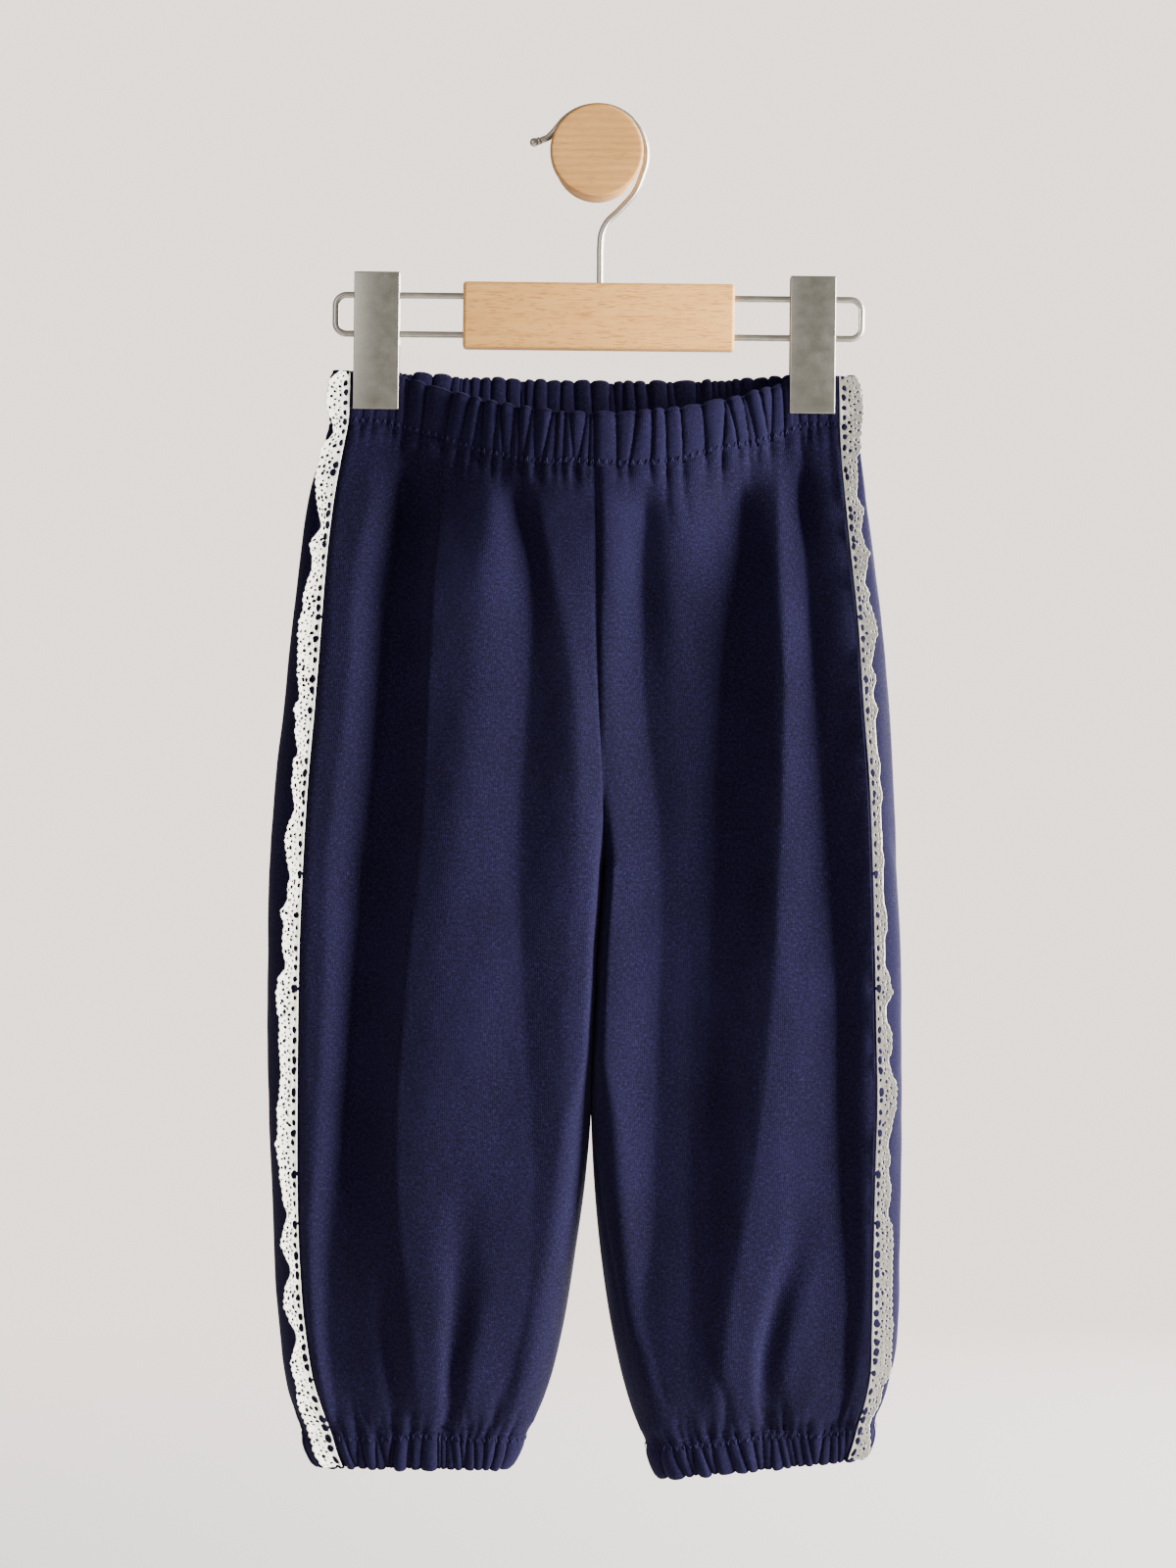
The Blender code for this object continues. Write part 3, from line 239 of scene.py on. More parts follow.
# ---------------------------------------------------------------- hanger and knob sizes
HANGER_TILT = math.radians(0.6)
HANGER_X, HANGER_DOWN = 0.9, 78.0  # middle of the wooden bar
BAR = (125.0, 13.0, 30.6)  # long, thick, high
BAR_EDGE = 1.6
WIRE = 1.5  # radius of the side loops
LOOP_REACH = 121.3  # from the bar's middle to the loops' ends
LOOP_UP, LOOP_LOW = 9.0, -8.9  # the loop's two wires, from the bar's middle
LOOP_CORNER = 5.0
SOCKET_DEPTH = 12.0
SOCKET_ROOM = 0.3
FOOT_ROOM = 0.2  # more room at a socket's foot
CUT_PAST = 2.0  # a cutter reaches this far past what it cuts

HOOK_WIRE = 1.55
HOOK_RADIUS = 22.45  # of the wire's centreline

CLIP = (21.0, 63.4)  # wide, high
CLIP_X = {"left": -102.2, "right": 98.7}  # from the bar's middle
CLIP_DROP = 12.3  # clip's middle below the bar's middle
CLIP_SHEET = 1.3
CLIP_EDGE = 0.55
CLIP_INNER = 4.7  # from the hanger's plane to the plate's inner face
CLIP_JAW_ROOM = 5.0  # the side flanges end this far below the lower wire

KNOB_NECK = 19.6
KNOB_DISC = 21.45
KNOB_DISC_THICK = 8.0
KNOB_LENGTH = 40.2
KNOB_ROUNDS = (1.3, 0.8)  # radii of the disc's front and back edges
KNOB_SIDES = 96
KNOB_PIN = 0.02  # radius at which the turned profile ends by the axis


# ---------------------------------------------------------------- curves through tables
def through(knots, values, at):
    """A smooth curve through the values at rising knots, read at one place or many."""
    knots, values = np.asarray(knots, float), np.asarray(values, float)
    slopes = np.gradient(values, knots)
    at = np.clip(at, knots[0], knots[-1])
    i = np.clip(np.searchsorted(knots, at, side="right") - 1, 0, len(knots) - 2)
    step = knots[i + 1] - knots[i]
    t = (at - knots[i]) / step
    start = values[i] * (1 + 2 * t) + slopes[i] * step * t
    end = values[i + 1] * (3 - 2 * t) + slopes[i + 1] * step * (t - 1)
    return start * (1 - t) ** 2 + end * t**2


def column(table, name, down):
    return through([row.down for row in table], [getattr(row, name) for row in table], down)


def ease(t):
    t = np.clip(t, 0.0, 1.0)
    return t * t * (3 - 2 * t)


def rounded(distance, reach):
    """0 at an edge, rising like a quarter circle to 1 where the cloth has turned to face front."""
    t = 1 - np.clip(distance / reach, 0.0, 1.0)
    return np.sqrt(1 - t * t)


# ---------------------------------------------------------------- the garment's shape
def arch(x):
    """1 in the middle of the waistband, 0 where the clips hold it."""
    return np.clip(1 - (x / BAND_HALF_SPAN) ** 2, 0, 1) ** 1.25


def band_share(down):
    """How much of the waistband's own shape the cloth has: all in the band, none well below it."""
    return 1 - ease((down - BAND_TOP - BAND_HEIGHT) / BAND_FADE)


def fallen(x, down, half, side):
    """Height below the tables' zero of the cloth whose row starts at this height at the side seam."""
    sag = np.clip(1 - (x / SAG_HALF_SPAN) ** 2, 0, 1) * (FRONT_SAG if side == "front" else BACK_SAG)
    sag = sag + BAND_TILT * x
    inner = column(OUTLINE, f"{half}_in", down)
    outer = column(OUTLINE, f"{half}_out", down)
    across = (x - outer) / (inner - outer) - 0.5
    tilt = CUFF_TILT[half] * across * ease((down - TILT_START) / (CUFF_TOP[half] - TILT_START))
    return down + sag * band_share(down) + tilt


def fold_relief(lines, x, down, ends):
    """How far the cloth stands out or back between the fold lines, at each x and its own height.

    Ends are the two places, outer and inner, where the relief is nothing and the centre seam's.
    """
    sign = 1 if ends[0][0] < ends[1][0] else -1
    across = [np.full_like(x, ends[0][0])] + [through(FOLD_DOWN, line.across, down) for line in lines]
    across.append(np.full_like(x, ends[1][0]))
    out = [np.zeros_like(x)] + [through(FOLD_DOWN, line.out, down) for line in lines]
    out.append(np.full_like(x, ends[1][1]))
    sharp = [0.0] + [line.sharp for line in lines] + [0.6]
    relief = np.full_like(x, ends[1][1])
    for i in range(len(across) - 1):
        wide = across[i + 1] - across[i]
        t = np.clip((x - across[i]) / np.where(np.abs(wide) < 0.5, math.copysign(0.5, sign), wide), 0, 1)
        inside = ((x - across[i]) * sign >= 0) & ((x - across[i + 1]) * sign < 0)
        rise = out[i + 1] - out[i]
        smooth = t * t * (3 - 2 * t)
        bend = 1.5 * (sharp[i] * t * (1 - t) ** 2 - sharp[i + 1] * t * t * (1 - t))
        relief = np.where(inside, out[i] + rise * (smooth + bend), relief)
    return relief


def crease_depth(creases, x, down):
    total = np.zeros_like(x)
    for rows in creases:
        across, deep, left, right = (column(rows, n, down) for n in ("across", "deep", "left", "right"))
        ends = (down >= rows[0].down) & (down <= rows[-1].down + 12)
        reach = np.where(x < across, left, right)
        total += np.where(ends, np.maximum(deep, 0), 0) * np.exp(-(((x - across) / reach) ** 2))
    return total


def touch(down):
    """Share of full contact between the two legs below the crotch."""
    return 1 - ease((down - LEGS_TOUCH) / LEGS_PART)


def half_section(down, half, side, count=140):
    """Plan of one half, or of one leg, at a height: x and y from the silhouette to the inner edge."""
    centre = np.clip(column(DEPTH, "centre", down), 0, 1)
    outer = column(OUTLINE, f"{half}_out", down)
    inner = column(OUTLINE, f"{half}_in", down)
    x = outer + (inner - outer) * (1 - np.cos(np.linspace(0, math.pi, count))) / 2
    from_side, from_inner = np.abs(x - outer), np.abs(x - inner)
    gentle = BACK_ROUND if side == "back" else 1.0
    body = column(DEPTH, side, down) * rounded(from_side, gentle * column(DEPTH, "side_round", down))
    pressed = 1 - LEGS_PRESS * touch(down)
    inner_round = gentle * pressed * column(DEPTH, "inner_round", down)
    body *= centre + (1 - centre) * rounded(from_inner, inner_round)
    bow = FRONT_BOW if side == "front" else BACK_BOW
    band = CLIPPED_DEPTH * rounded(from_side, CLIPPED_DEPTH) + bow * arch(x)
    share = band_share(down)
    low = fallen(x, down, half, side)
    front = side == "front"
    lines = (FRONT_FOLDS if front else BACK_FOLDS)[half]
    from_outer = lines if half == "left" else lines[::-1]
    relief = FOLD_SHARE * fold_relief(from_outer, x, low, ((outer, 0.0), (inner, CENTRE_OUT * centre)))
    if front:
        relief -= crease_depth(FRONT_CREASES[half], x, low)
    relief *= ease((down - BAND_TOP - BAND_HEIGHT) / FOLD_START) * rounded(from_side, 12)
    relief *= centre + (1 - centre) * rounded(from_inner, 8)
    relief *= 1 - 0.75 * ease((down - CUFF_TOP[half] + 8) / 8)
    depth = share * band + (1 - share) * body + relief
    return x, HANG_Y + (-depth if front else depth)


def panel_line(down, half, side):
    """The line of one panel at a height, as x, y and fallen height.

    The front panel runs from the side seam to the inner edge. The back panel runs from the inner edge
    over the back and round the silhouette to the side seam.
    """
    seam = column(OUTLINE, f"{half}_seam", down)
    x, y = half_section(down, half, "front")
    order = 1 if half == "left" else -1
    beyond = x * order >= seam * order
    y_seam = np.interp(seam, x[::order], y[::order])
    if side == "front":
        x, y = np.append(seam, x[beyond]), np.append(y_seam, y[beyond])
        return x, y, fallen(x, down, half, "front")
    x_wrap, y_wrap = np.append(x[~beyond], seam), np.append(y[~beyond], y_seam)
    x_back, y_back = half_section(down, half, "back")
    x = np.concatenate([x_back[::-1], x_wrap[1:]])
    y = np.concatenate([y_back[::-1], y_wrap[1:]])
    low = np.concatenate([fallen(x_back[::-1], down, half, "back"), fallen(x_wrap[1:], down, half, "front")])
    return x, y, low


def along(line, at, trim=SEAM_GAP / 2):
    """Points at shares of a line's length, with its ends trimmed, its directions there, and its length."""
    x, y, low = line
    length = np.append(0, np.cumsum(np.hypot(np.diff(x), np.diff(y))))
    want = trim + np.asarray(at) * (length[-1] - 2 * trim)
    points = np.stack([np.interp(want, length, values) for values in (x, y, low)], axis=1)
    reach = 0.6
    before, after = np.clip(want - reach, 0, length[-1]), np.clip(want + reach, 0, length[-1])
    run = np.stack([np.interp(after, length, v) - np.interp(before, length, v) for v in (x, y)], axis=1)
    run /= np.linalg.norm(run, axis=1)[:, None]
    return points, run, length[-1]


def outward(run, half):
    """Normals that point out of the trousers, from the direction in which a half's line runs."""
    return np.stack([run[:, 1], -run[:, 0]], axis=1) * (1 if half == "left" else -1)


# ---------------------------------------------------------------- fine detail
# Where the front waistband is pinched, as each crease's place at its upper and at its lower end, and the
# back waistband, whose inside shows behind it. The gathers that are out of sight are spread unevenly.
BAND_CREASES = [
    (-108.0, -108.5), (-101.8, -103.5), (-96.8, -97.0), (-93.1, -93.5), (-89.3, -89.6), (-87.3, -88.1),
    (-79.8, -81.0), (-66.9, -70.2), (-59.0, -63.5), (-54.0, -57.7), (-52.3, -53.1), (-46.5, -47.7),
    (-44.4, -43.2), (-38.6, -40.2), (-35.8, -36.1), (-30.7, -33.6), (-29.0, -28.6), (-21.1, -25.7),
    (-18.6, -19.9), (-15.3, -15.7), (-12.8, -10.9), (-5.3, -9.0), (-3.6, -4.3), (-1.5, -1.4), (8.3, 9.2),
    (18.1, 14.4), (25.3, 24.8), (31.0, 31.9), (38.2, 39.5), (48.4, 50.2), (59.1, 57.7), (60.4, 65.3),
    (67.1, 70.6), (68.9, 74.2), (75.1, 79.5), (80.9, 80.6), (85.8, 86.6), (92.0, 93.7), (97.3, 97.3),
    (101.8, 101.6), (106.5, 107.0),
]
BACK_BAND_CREASES = [
    -88.9, -86.8, -83.9, -75.6, -67.2, -63.0, -61.4, -59.0, -57.2, -53.6, -48.2, -41.0, -34.7, -32.4,
    -28.8, -22.5, -16.4, -9.5, -1.9, 6.1, 9.2, 12.8, 18.6, 23.9, 25.7, 33.3, 36.8, 46.2, 48.8, 53.7, 56.8,
    59.9, 63.1, 67.0, 73.8, 80.0, 86.5,
]
# The same for the hem casings, as the crease's place at the top and at the bottom edge.
CUFF_CREASES = {
    "left": [
        (-119.9, -114.9), (-115.9, -110.9), (-109.9, -109.4), (-107.9, -105.3), (-101.3, -100.8),
        (-99.8, -96.8), (-93.3, -95.3), (-91.3, -93.3), (-85.8, -87.3), (-84.2, -85.3), (-79.2, -80.7),
        (-72.7, -73.2), (-71.0, -71.4), (-68.9, -68.9), (-66.6, -65.2), (-62.7, -61.7), (-59.1, -60.6),
        (-55.6, -56.1), (-50.6, -52.1), (-45.1, -48.6), (-40.0, -44.1),
    ],
    "right": [
        (28.9, 31.5), (33.3, 40.4), (39.5, 44.4), (43.1, 46.7), (46.7, 52.9), (52.0, 55.6), (58.2, 63.6),
        (63.6, 69.8), (70.7, 74.2), (75.6, 76.9), (79.6, 80.5), (82.2, 85.8), (85.4, 89.4), (88.5, 92.0),
        (92.5, 95.6), (96.5, 99.3), (104.0, 101.8), (107.2, 106.7), (110.7, 110.7), (114.3, 113.4),
    ],
}
# Creases too fine for the solids, as points (x, down) on the front, each with its depth and reach.
Stroke = namedtuple("Stroke", "deep wide points")
FRONT_STROKES = {
    "left": [
        Stroke(1.5, 1.8, [(-119.4, 589), (-119.9, 579)]),
        Stroke(1.5, 1.9, [(-109.4, 589), (-111.9, 579), (-113.4, 572)]),
        Stroke(1.4, 2.0, [(-103.3, 589), (-108.4, 579), (-111.4, 575)]),
        Stroke(1.4, 1.7, [(-96.3, 591), (-98.3, 584), (-99.3, 579)]),
        Stroke(1.6, 2.0, [(-92.3, 591), (-93.8, 582), (-94.8, 576)]),
        Stroke(1.7, 2.0, [(-83.2, 591), (-84.2, 584), (-85.5, 577)]),
        Stroke(2.4, 2.4, [(-70.2, 590), (-66.4, 580), (-64.8, 571), (-65.4, 562), (-66.2, 552)]),
        Stroke(1.4, 1.6, [(-64.2, 590), (-62.9, 581), (-63.1, 575)]),
        Stroke(1.5, 1.8, [(-58.6, 590), (-59.6, 581), (-61.6, 574)]),
        Stroke(1.1, 1.7, [(-53.6, 590), (-54.6, 582), (-55.6, 577)]),
        Stroke(1.8, 2.2, [(-47.6, 590), (-46.1, 580), (-44.1, 573), (-40.5, 566)]),
        Stroke(1.5, 2.0, [(-39.5, 591), (-35.5, 581), (-32.0, 574)]),
    ],
    "right": [
        Stroke(0.6, 0.9, [(-0.5, 462), (4.0, 500), (11.1, 537), (18.2, 575), (22.6, 589)]),
        Stroke(1.5, 1.8, [(37.8, 592), (37.4, 584), (36.5, 578)]),
        Stroke(1.6, 1.9, [(42.7, 594), (41.3, 585), (40.0, 578)]),
        Stroke(1.0, 1.6, [(45.8, 594), (44.0, 586)]),
        Stroke(1.5, 1.8, [(50.7, 594), (49.8, 584)]),
        Stroke(1.3, 1.8, [(52.9, 594), (52.2, 585), (51.8, 577)]),
        Stroke(2.2, 2.6, [(58.2, 594), (59.3, 585), (59.3, 578), (57.3, 570), (52.9, 561), (49.3, 551)]),
        Stroke(2.2, 2.2, [(75.6, 594), (78.4, 588), (77.2, 583), (75.0, 577), (73.5, 569)]),
        Stroke(1.8, 2.0, [(85.8, 592), (85.6, 585), (84.9, 579), (84.0, 572)]),
        Stroke(1.4, 2.2, [(92.5, 592), (95.1, 588), (99.1, 585), (102.3, 581)]),
        Stroke(2.0, 1.9, [(109.0, 590), (111.4, 582), (113.4, 573), (114.6, 563), (114.6, 552),
                          (113.8, 540)]),
        Stroke(1.5, 1.8, [(115.6, 589), (115.3, 582), (117.4, 575)]),
    ],
}

LACE_WIDE = 11.2
LACE_PAST = 1.4  # the lace's surface reaches this far past that width, for the scalloped edge
LACE_HALF_THICK = 0.24
LACE_CLEAR = 0.6  # from the cloth it lies on
LACE_PITCH = 4.7  # between the larger holes, along the strip
LACE_GRID = 0.4
# The middle of each hole across the strip, its place along the pitch, and its half sizes.
LACE_HOLES = [
    (2.1, 0.00, 1.05, 1.35), (4.5, 0.40, 0.60, 0.52), (5.1, 0.92, 0.50, 0.60), (7.0, 0.66, 0.62, 0.52),
    (7.4, 0.16, 0.58, 0.56), (9.2, 0.44, 0.60, 0.56),
]
# The lace's free edge as the front shows it: (down, x) for each half.
LACE_FREE_EDGE = {
    "left": [
        (103.5, -117.0), (105.3, -121.5), (108.9, -123.9), (118.4, -124.3), (126.5, -122.0), (131.4, -120.6),
        (135.9, -124.9), (143.1, -128.2), (151.7, -129.4), (160.7, -128.7), (167.4, -128.2), (176.0, -126.1),
        (180.0, -129.6), (184.1, -131.9), (187.7, -130.5), (194.8, -129.8), (201.2, -132.3), (208.3, -134.8),
        (212.4, -133.8), (219.6, -135.9), (225.9, -136.5), (234.9, -136.5), (243.0, -137.0), (254.2, -135.5),
        (258.8, -138.2), (264.2, -137.4), (270.4, -137.8), (279.9, -135.9), (281.7, -139.1), (287.1, -138.2),
        (293.9, -139.5), (304.2, -137.4), (311.4, -140.7), (318.6, -142.2), (328.3, -141.5), (336.2, -139.2),
        (340.2, -141.5), (346.1, -140.5), (351.4, -144.7), (357.3, -142.7), (367.2, -143.6), (376.7, -141.5),
        (380.7, -145.1), (386.1, -146.1), (397.4, -145.5), (405.4, -144.3), (412.2, -145.1), (421.7, -144.3),
        (429.8, -144.0), (442.4, -145.9), (452.2, -145.5), (457.7, -146.7), (468.9, -144.3), (472.9, -144.9),
        (486.0, -142.7), (489.2, -140.6), (497.2, -143.1), (503.1, -144.3), (509.4, -142.2), (515.0, -138.6),
        (521.6, -142.2), (531.0, -143.1), (539.1, -140.4), (544.1, -135.5), (549.5, -138.2), (557.6, -140.0),
        (565.6, -137.4), (573.8, -137.0), (583.2, -135.0), (590.4, -131.8), (596.2, -131.0), (600.3, -128.7),
        (605.7, -126.2), (608.9, -122.6),
    ],
    "right": [
        (106.5, 119.2), (108.9, 121.3), (115.7, 122.1), (121.5, 122.4), (129.6, 121.7), (140.6, 121.7),
        (142.2, 119.2), (146.2, 120.0), (154.8, 119.6), (162.3, 118.8), (167.4, 122.9), (173.9, 121.5),
        (176.4, 121.0), (184.3, 122.4), (186.8, 124.9), (196.2, 122.8), (202.1, 122.0), (206.8, 125.8),
        (209.2, 123.2), (213.3, 125.5), (223.7, 128.2), (234.0, 126.0), (240.5, 124.8), (245.2, 128.0),
        (254.2, 124.4), (258.3, 128.0), (263.2, 127.6), (264.6, 124.8), (274.5, 126.8), (283.3, 129.0),
        (292.1, 128.4), (299.2, 130.4), (305.6, 128.0), (306.4, 126.8), (314.6, 128.6), (319.5, 127.6),
        (325.8, 130.6), (339.5, 130.1), (342.0, 128.4), (351.4, 132.0), (360.4, 132.3), (364.5, 129.2),
        (368.6, 130.6), (374.9, 129.6), (379.8, 133.2), (388.8, 135.0), (392.9, 132.3), (397.4, 129.6),
        (405.4, 134.0), (416.0, 134.8), (418.5, 132.3), (432.0, 136.8), (441.9, 136.3), (452.2, 134.0),
        (457.7, 132.3), (464.4, 133.8), (469.8, 132.3), (477.0, 134.6), (486.0, 133.2), (488.7, 132.0),
        (495.0, 134.6), (511.2, 135.0), (525.6, 134.6), (546.3, 135.0), (563.9, 133.7), (568.8, 130.5),
        (577.8, 129.6), (584.1, 125.1), (587.2, 124.4), (593.1, 125.4), (601.6, 124.4), (604.4, 120.3),
    ],
}


# ---------------------------------------------------------------- surfaces
def noise(*sizes, seed=1):
    """Smooth unevenness, about -1 to 1, over arrays of places already scaled to the waves' size."""
    random.seed(seed)
    total = np.zeros(np.broadcast(*sizes).shape)
    for octave in range(7):
        angle, phase = random.uniform(0, 2 * math.pi), random.uniform(0, 2 * math.pi)
        rate = 0.6 + 0.35 * octave
        turn = (math.cos(angle), math.sin(angle))
        total += np.sin(rate * (turn[0] * sizes[0] + turn[1] * sizes[1]) + phase) / (1 + 0.5 * octave)
    return total / 2.2


def stroke_relief(strokes, x, down):
    """How far creases along lines of points stand out, which is below nothing: they are sunk."""
    relief = np.zeros_like(x)
    for stroke in strokes:
        points = np.asarray(stroke.points, float)
        reach = np.append(0, np.cumsum(np.linalg.norm(np.diff(points, axis=0), axis=1)))
        best, at = np.full_like(x, 1e9), np.zeros_like(x)
        for (a, b), start in zip(zip(points, points[1:]), reach):
            run = b - a
            t = np.clip(((x - a[0]) * run[0] + (down - a[1]) * run[1]) / (run @ run), 0, 1)
            away = np.hypot(x - a[0] - t * run[0], down - a[1] - t * run[1])
            nearer = away < best
            best = np.where(nearer, away, best)
            at = np.where(nearer, start + t * math.sqrt(run @ run), at)
        fade = 1 - ease(at / reach[-1]) ** 1.5
        relief -= stroke.deep * (0.15 + 0.85 * fade) * np.exp(-((best / stroke.wide) ** 1.35))
    return relief


def upright(points):
    """Table coordinates (x, y, down) as millimetres of the part's own frame."""
    points = np.array(points, float)
    points[..., 2] = HANG_RISE - points[..., 2]
    return points


def facing(grid, half):
    """Outward normals of a grid whose rows run down and whose columns follow a half's line."""
    across, down = np.gradient(grid, axis=1), np.gradient(grid, axis=0)
    normal = np.cross(down, across) * (1 if half == "left" else -1)
    return normal / np.maximum(np.linalg.norm(normal, axis=2), 1e-9)[..., None]


def skin(name, rings, uv, finish, closed=False, highlight_height=None):
    """A tube of quads through rings of points. Open ends are filled across the ring."""
    rings = np.asarray(rings, float)
    count, size = rings.shape[:2]
    index = np.arange(count * size).reshape(count, size)
    here, after = (index, np.roll(index, -1, axis=0)) if closed else (index[:-1], index[1:])
    quads = np.stack([here, np.roll(here, -1, 1), np.roll(after, -1, 1), after], axis=2)
    faces = quads.reshape(-1, 4).tolist()
    if not closed:
        for ring in (index[0].tolist(), index[-1].tolist()):
            for i in range(size // 2 - 1):
                faces.append((ring[i], ring[i + 1], ring[-i - 2], ring[-i - 1]))
    made = mesh_object(name, rings.reshape(-1, 3), faces, finish, uv.reshape(-1, 2), highlight_height)
    made.data.set_sharp_from_angle(angle=math.radians(SOFT_EDGE))
    return made


def placed(name, data):
    """An object for some data, in the scene."""
    made = bpy.data.objects.new(name, data)
    bpy.context.scene.collection.objects.link(made)
    return made


def mesh_object(name, points, faces, finish, uv=None, highlight_height=None):
    """A mesh from points in millimetres, with its cloth coordinates and its height for a painted highlight.
    """
    data = bpy.data.meshes.new(name)
    data.from_pydata((np.asarray(points) * MM).tolist(), [], faces)
    body = bmesh.new()
    body.from_mesh(data)
    bmesh.ops.recalc_face_normals(body, faces=body.faces)
    body.to_mesh(data)
    body.free()
    data.shade_smooth()
    if uv is not None:
        corners = np.empty(len(data.loops), int)
        data.loops.foreach_get("vertex_index", corners)
        layer = data.uv_layers.new(name="cloth")
        layer.data.foreach_set("uv", (uv[corners] * 0.1).astype(np.float32).ravel())
    if highlight_height is not None:
        layer = data.attributes.new("highlight_height", "FLOAT", "POINT")
        layer.data.foreach_set("value", highlight_height.astype(np.float32).ravel())
    data.materials.append(finish)
    return placed(name, data)


# ---------------------------------------------------------------- cloth pieces
def share_at(line, x):
    """Share of a line's length at which it reaches each x, on its way from one silhouette to the other."""
    length = np.append(0, np.cumsum(np.hypot(np.diff(line[0]), np.diff(line[1]))))
    i, j = sorted((int(np.argmin(line[0])), int(np.argmax(line[0]))))
    sign = 1 if line[0][j] > line[0][i] else -1
    return np.interp(np.asarray(x) * sign, line[0][i : j + 1] * sign, length[i : j + 1]) / length[-1]


def length_of(line):
    return float(np.hypot(np.diff(line[0]), np.diff(line[1])).sum())


def spread(start, end, seed, least=3.0, most=9.0):
    """Pinched places spread unevenly over a stretch, in mm."""
    random.seed(seed)
    places, place = [], start + random.uniform(least, most) / 2
    while place < end - least / 2:
        places.append(place)
        place += random.uniform(least, most)
    return places


def band_pinches(side):
    """Pinched places along the waistband's line, in mm: at its rim, and at its seam."""
    down = BAND_TOP + BAND_HEIGHT
    line = band_line(down, side)
    whole = length_of(line)
    if side == "front":
        seen = (np.sort(share_at(line, x)) * whole for x in zip(*BAND_CREASES))
        return [np.concatenate([[0.0], places, [whole]]) for places in seen]
    seen = np.sort(share_at(line, BACK_BAND_CREASES) * whole)
    ends = spread(0, seen[0] - 2, "right end"), spread(seen[-1] + 2, whole, "left end")
    places = np.concatenate([[0.0], ends[0], seen, ends[1], [whole]])
    random.seed("back lean")
    lean = np.array([random.uniform(-0.7, 0.7) for _ in places]) * (places > 0) * (places < whole)
    return [places + lean, places - lean]


def cuff_pinches(half):
    """Pinched places along a hem casing's line, in mm: at its seam, and at its lower edge."""
    both = []
    for down, which in ((CUFF_TOP[half], 0), (CUFF_BOTTOM[half], 1)):
        line, whole = panel_line(down, half, "front"), length_of(cuff_line(down, half))
        front = length_of(line)
        seen = np.sort(share_at(line, [pair[which] for pair in CUFF_CREASES[half]])) * front
        hidden = np.array(spread(0, 1, f"{half} hem back", 0.022, 0.066)) * (whole - front) + front
        both.append(np.concatenate([[0.0], seen, [front], hidden, [whole]]))
    return both


def gather_lines(places, seed, lengths):
    """A crease from each pinched place: the place, its drift, depth, reach to each side, and length."""
    random.seed(seed)
    return [
        (place, random.uniform(-2.5, 2.5), random.uniform(0.7, 1.8), random.uniform(1.3, 2.2),
         random.choice(lengths))
        for place in places
    ]


def gather_relief(lines, at, away):
    """How far the creases of a casing's gathers stand out, at places along it and away from it."""
    relief = np.zeros_like(at)
    for place, drift, deep, wide, length in lines:
        middle = place + drift * away / length
        fade = 1 - ease(away / length)
        relief -= deep * fade * np.exp(-((np.abs(at - middle) / (wide * (1 + 0.6 * away / length))) ** 1.25))
    return relief


def wander(place, whole):
    """How far a casing's seam wanders up and down, in mm, along its line."""
    return 1.5 * noise(place / 6.5, 0 * place, seed=31) * np.clip(np.minimum(place, whole - place) / 6, 0, 1)


def panel_surface(half, side):
    """A panel's smooth surface: its rows' heights, shares across, points, ways out and lengths."""
    columns, count = PANEL_GRID[side]
    heights = np.linspace(BAND_TOP + BAND_HEIGHT, CUFF_TOP[half], count)
    shares = np.linspace(0, 1, columns + 1)
    points, out, lengths = [], [], []
    for down in heights:
        places, run, length = along(panel_line(down, half, side), shares, trim=PANEL_TRIM)
        points.append(places)
        out.append(outward(run, half))
        lengths.append(length)
    return heights, shares, np.array(points), np.array(out), np.array(lengths)[:, None]


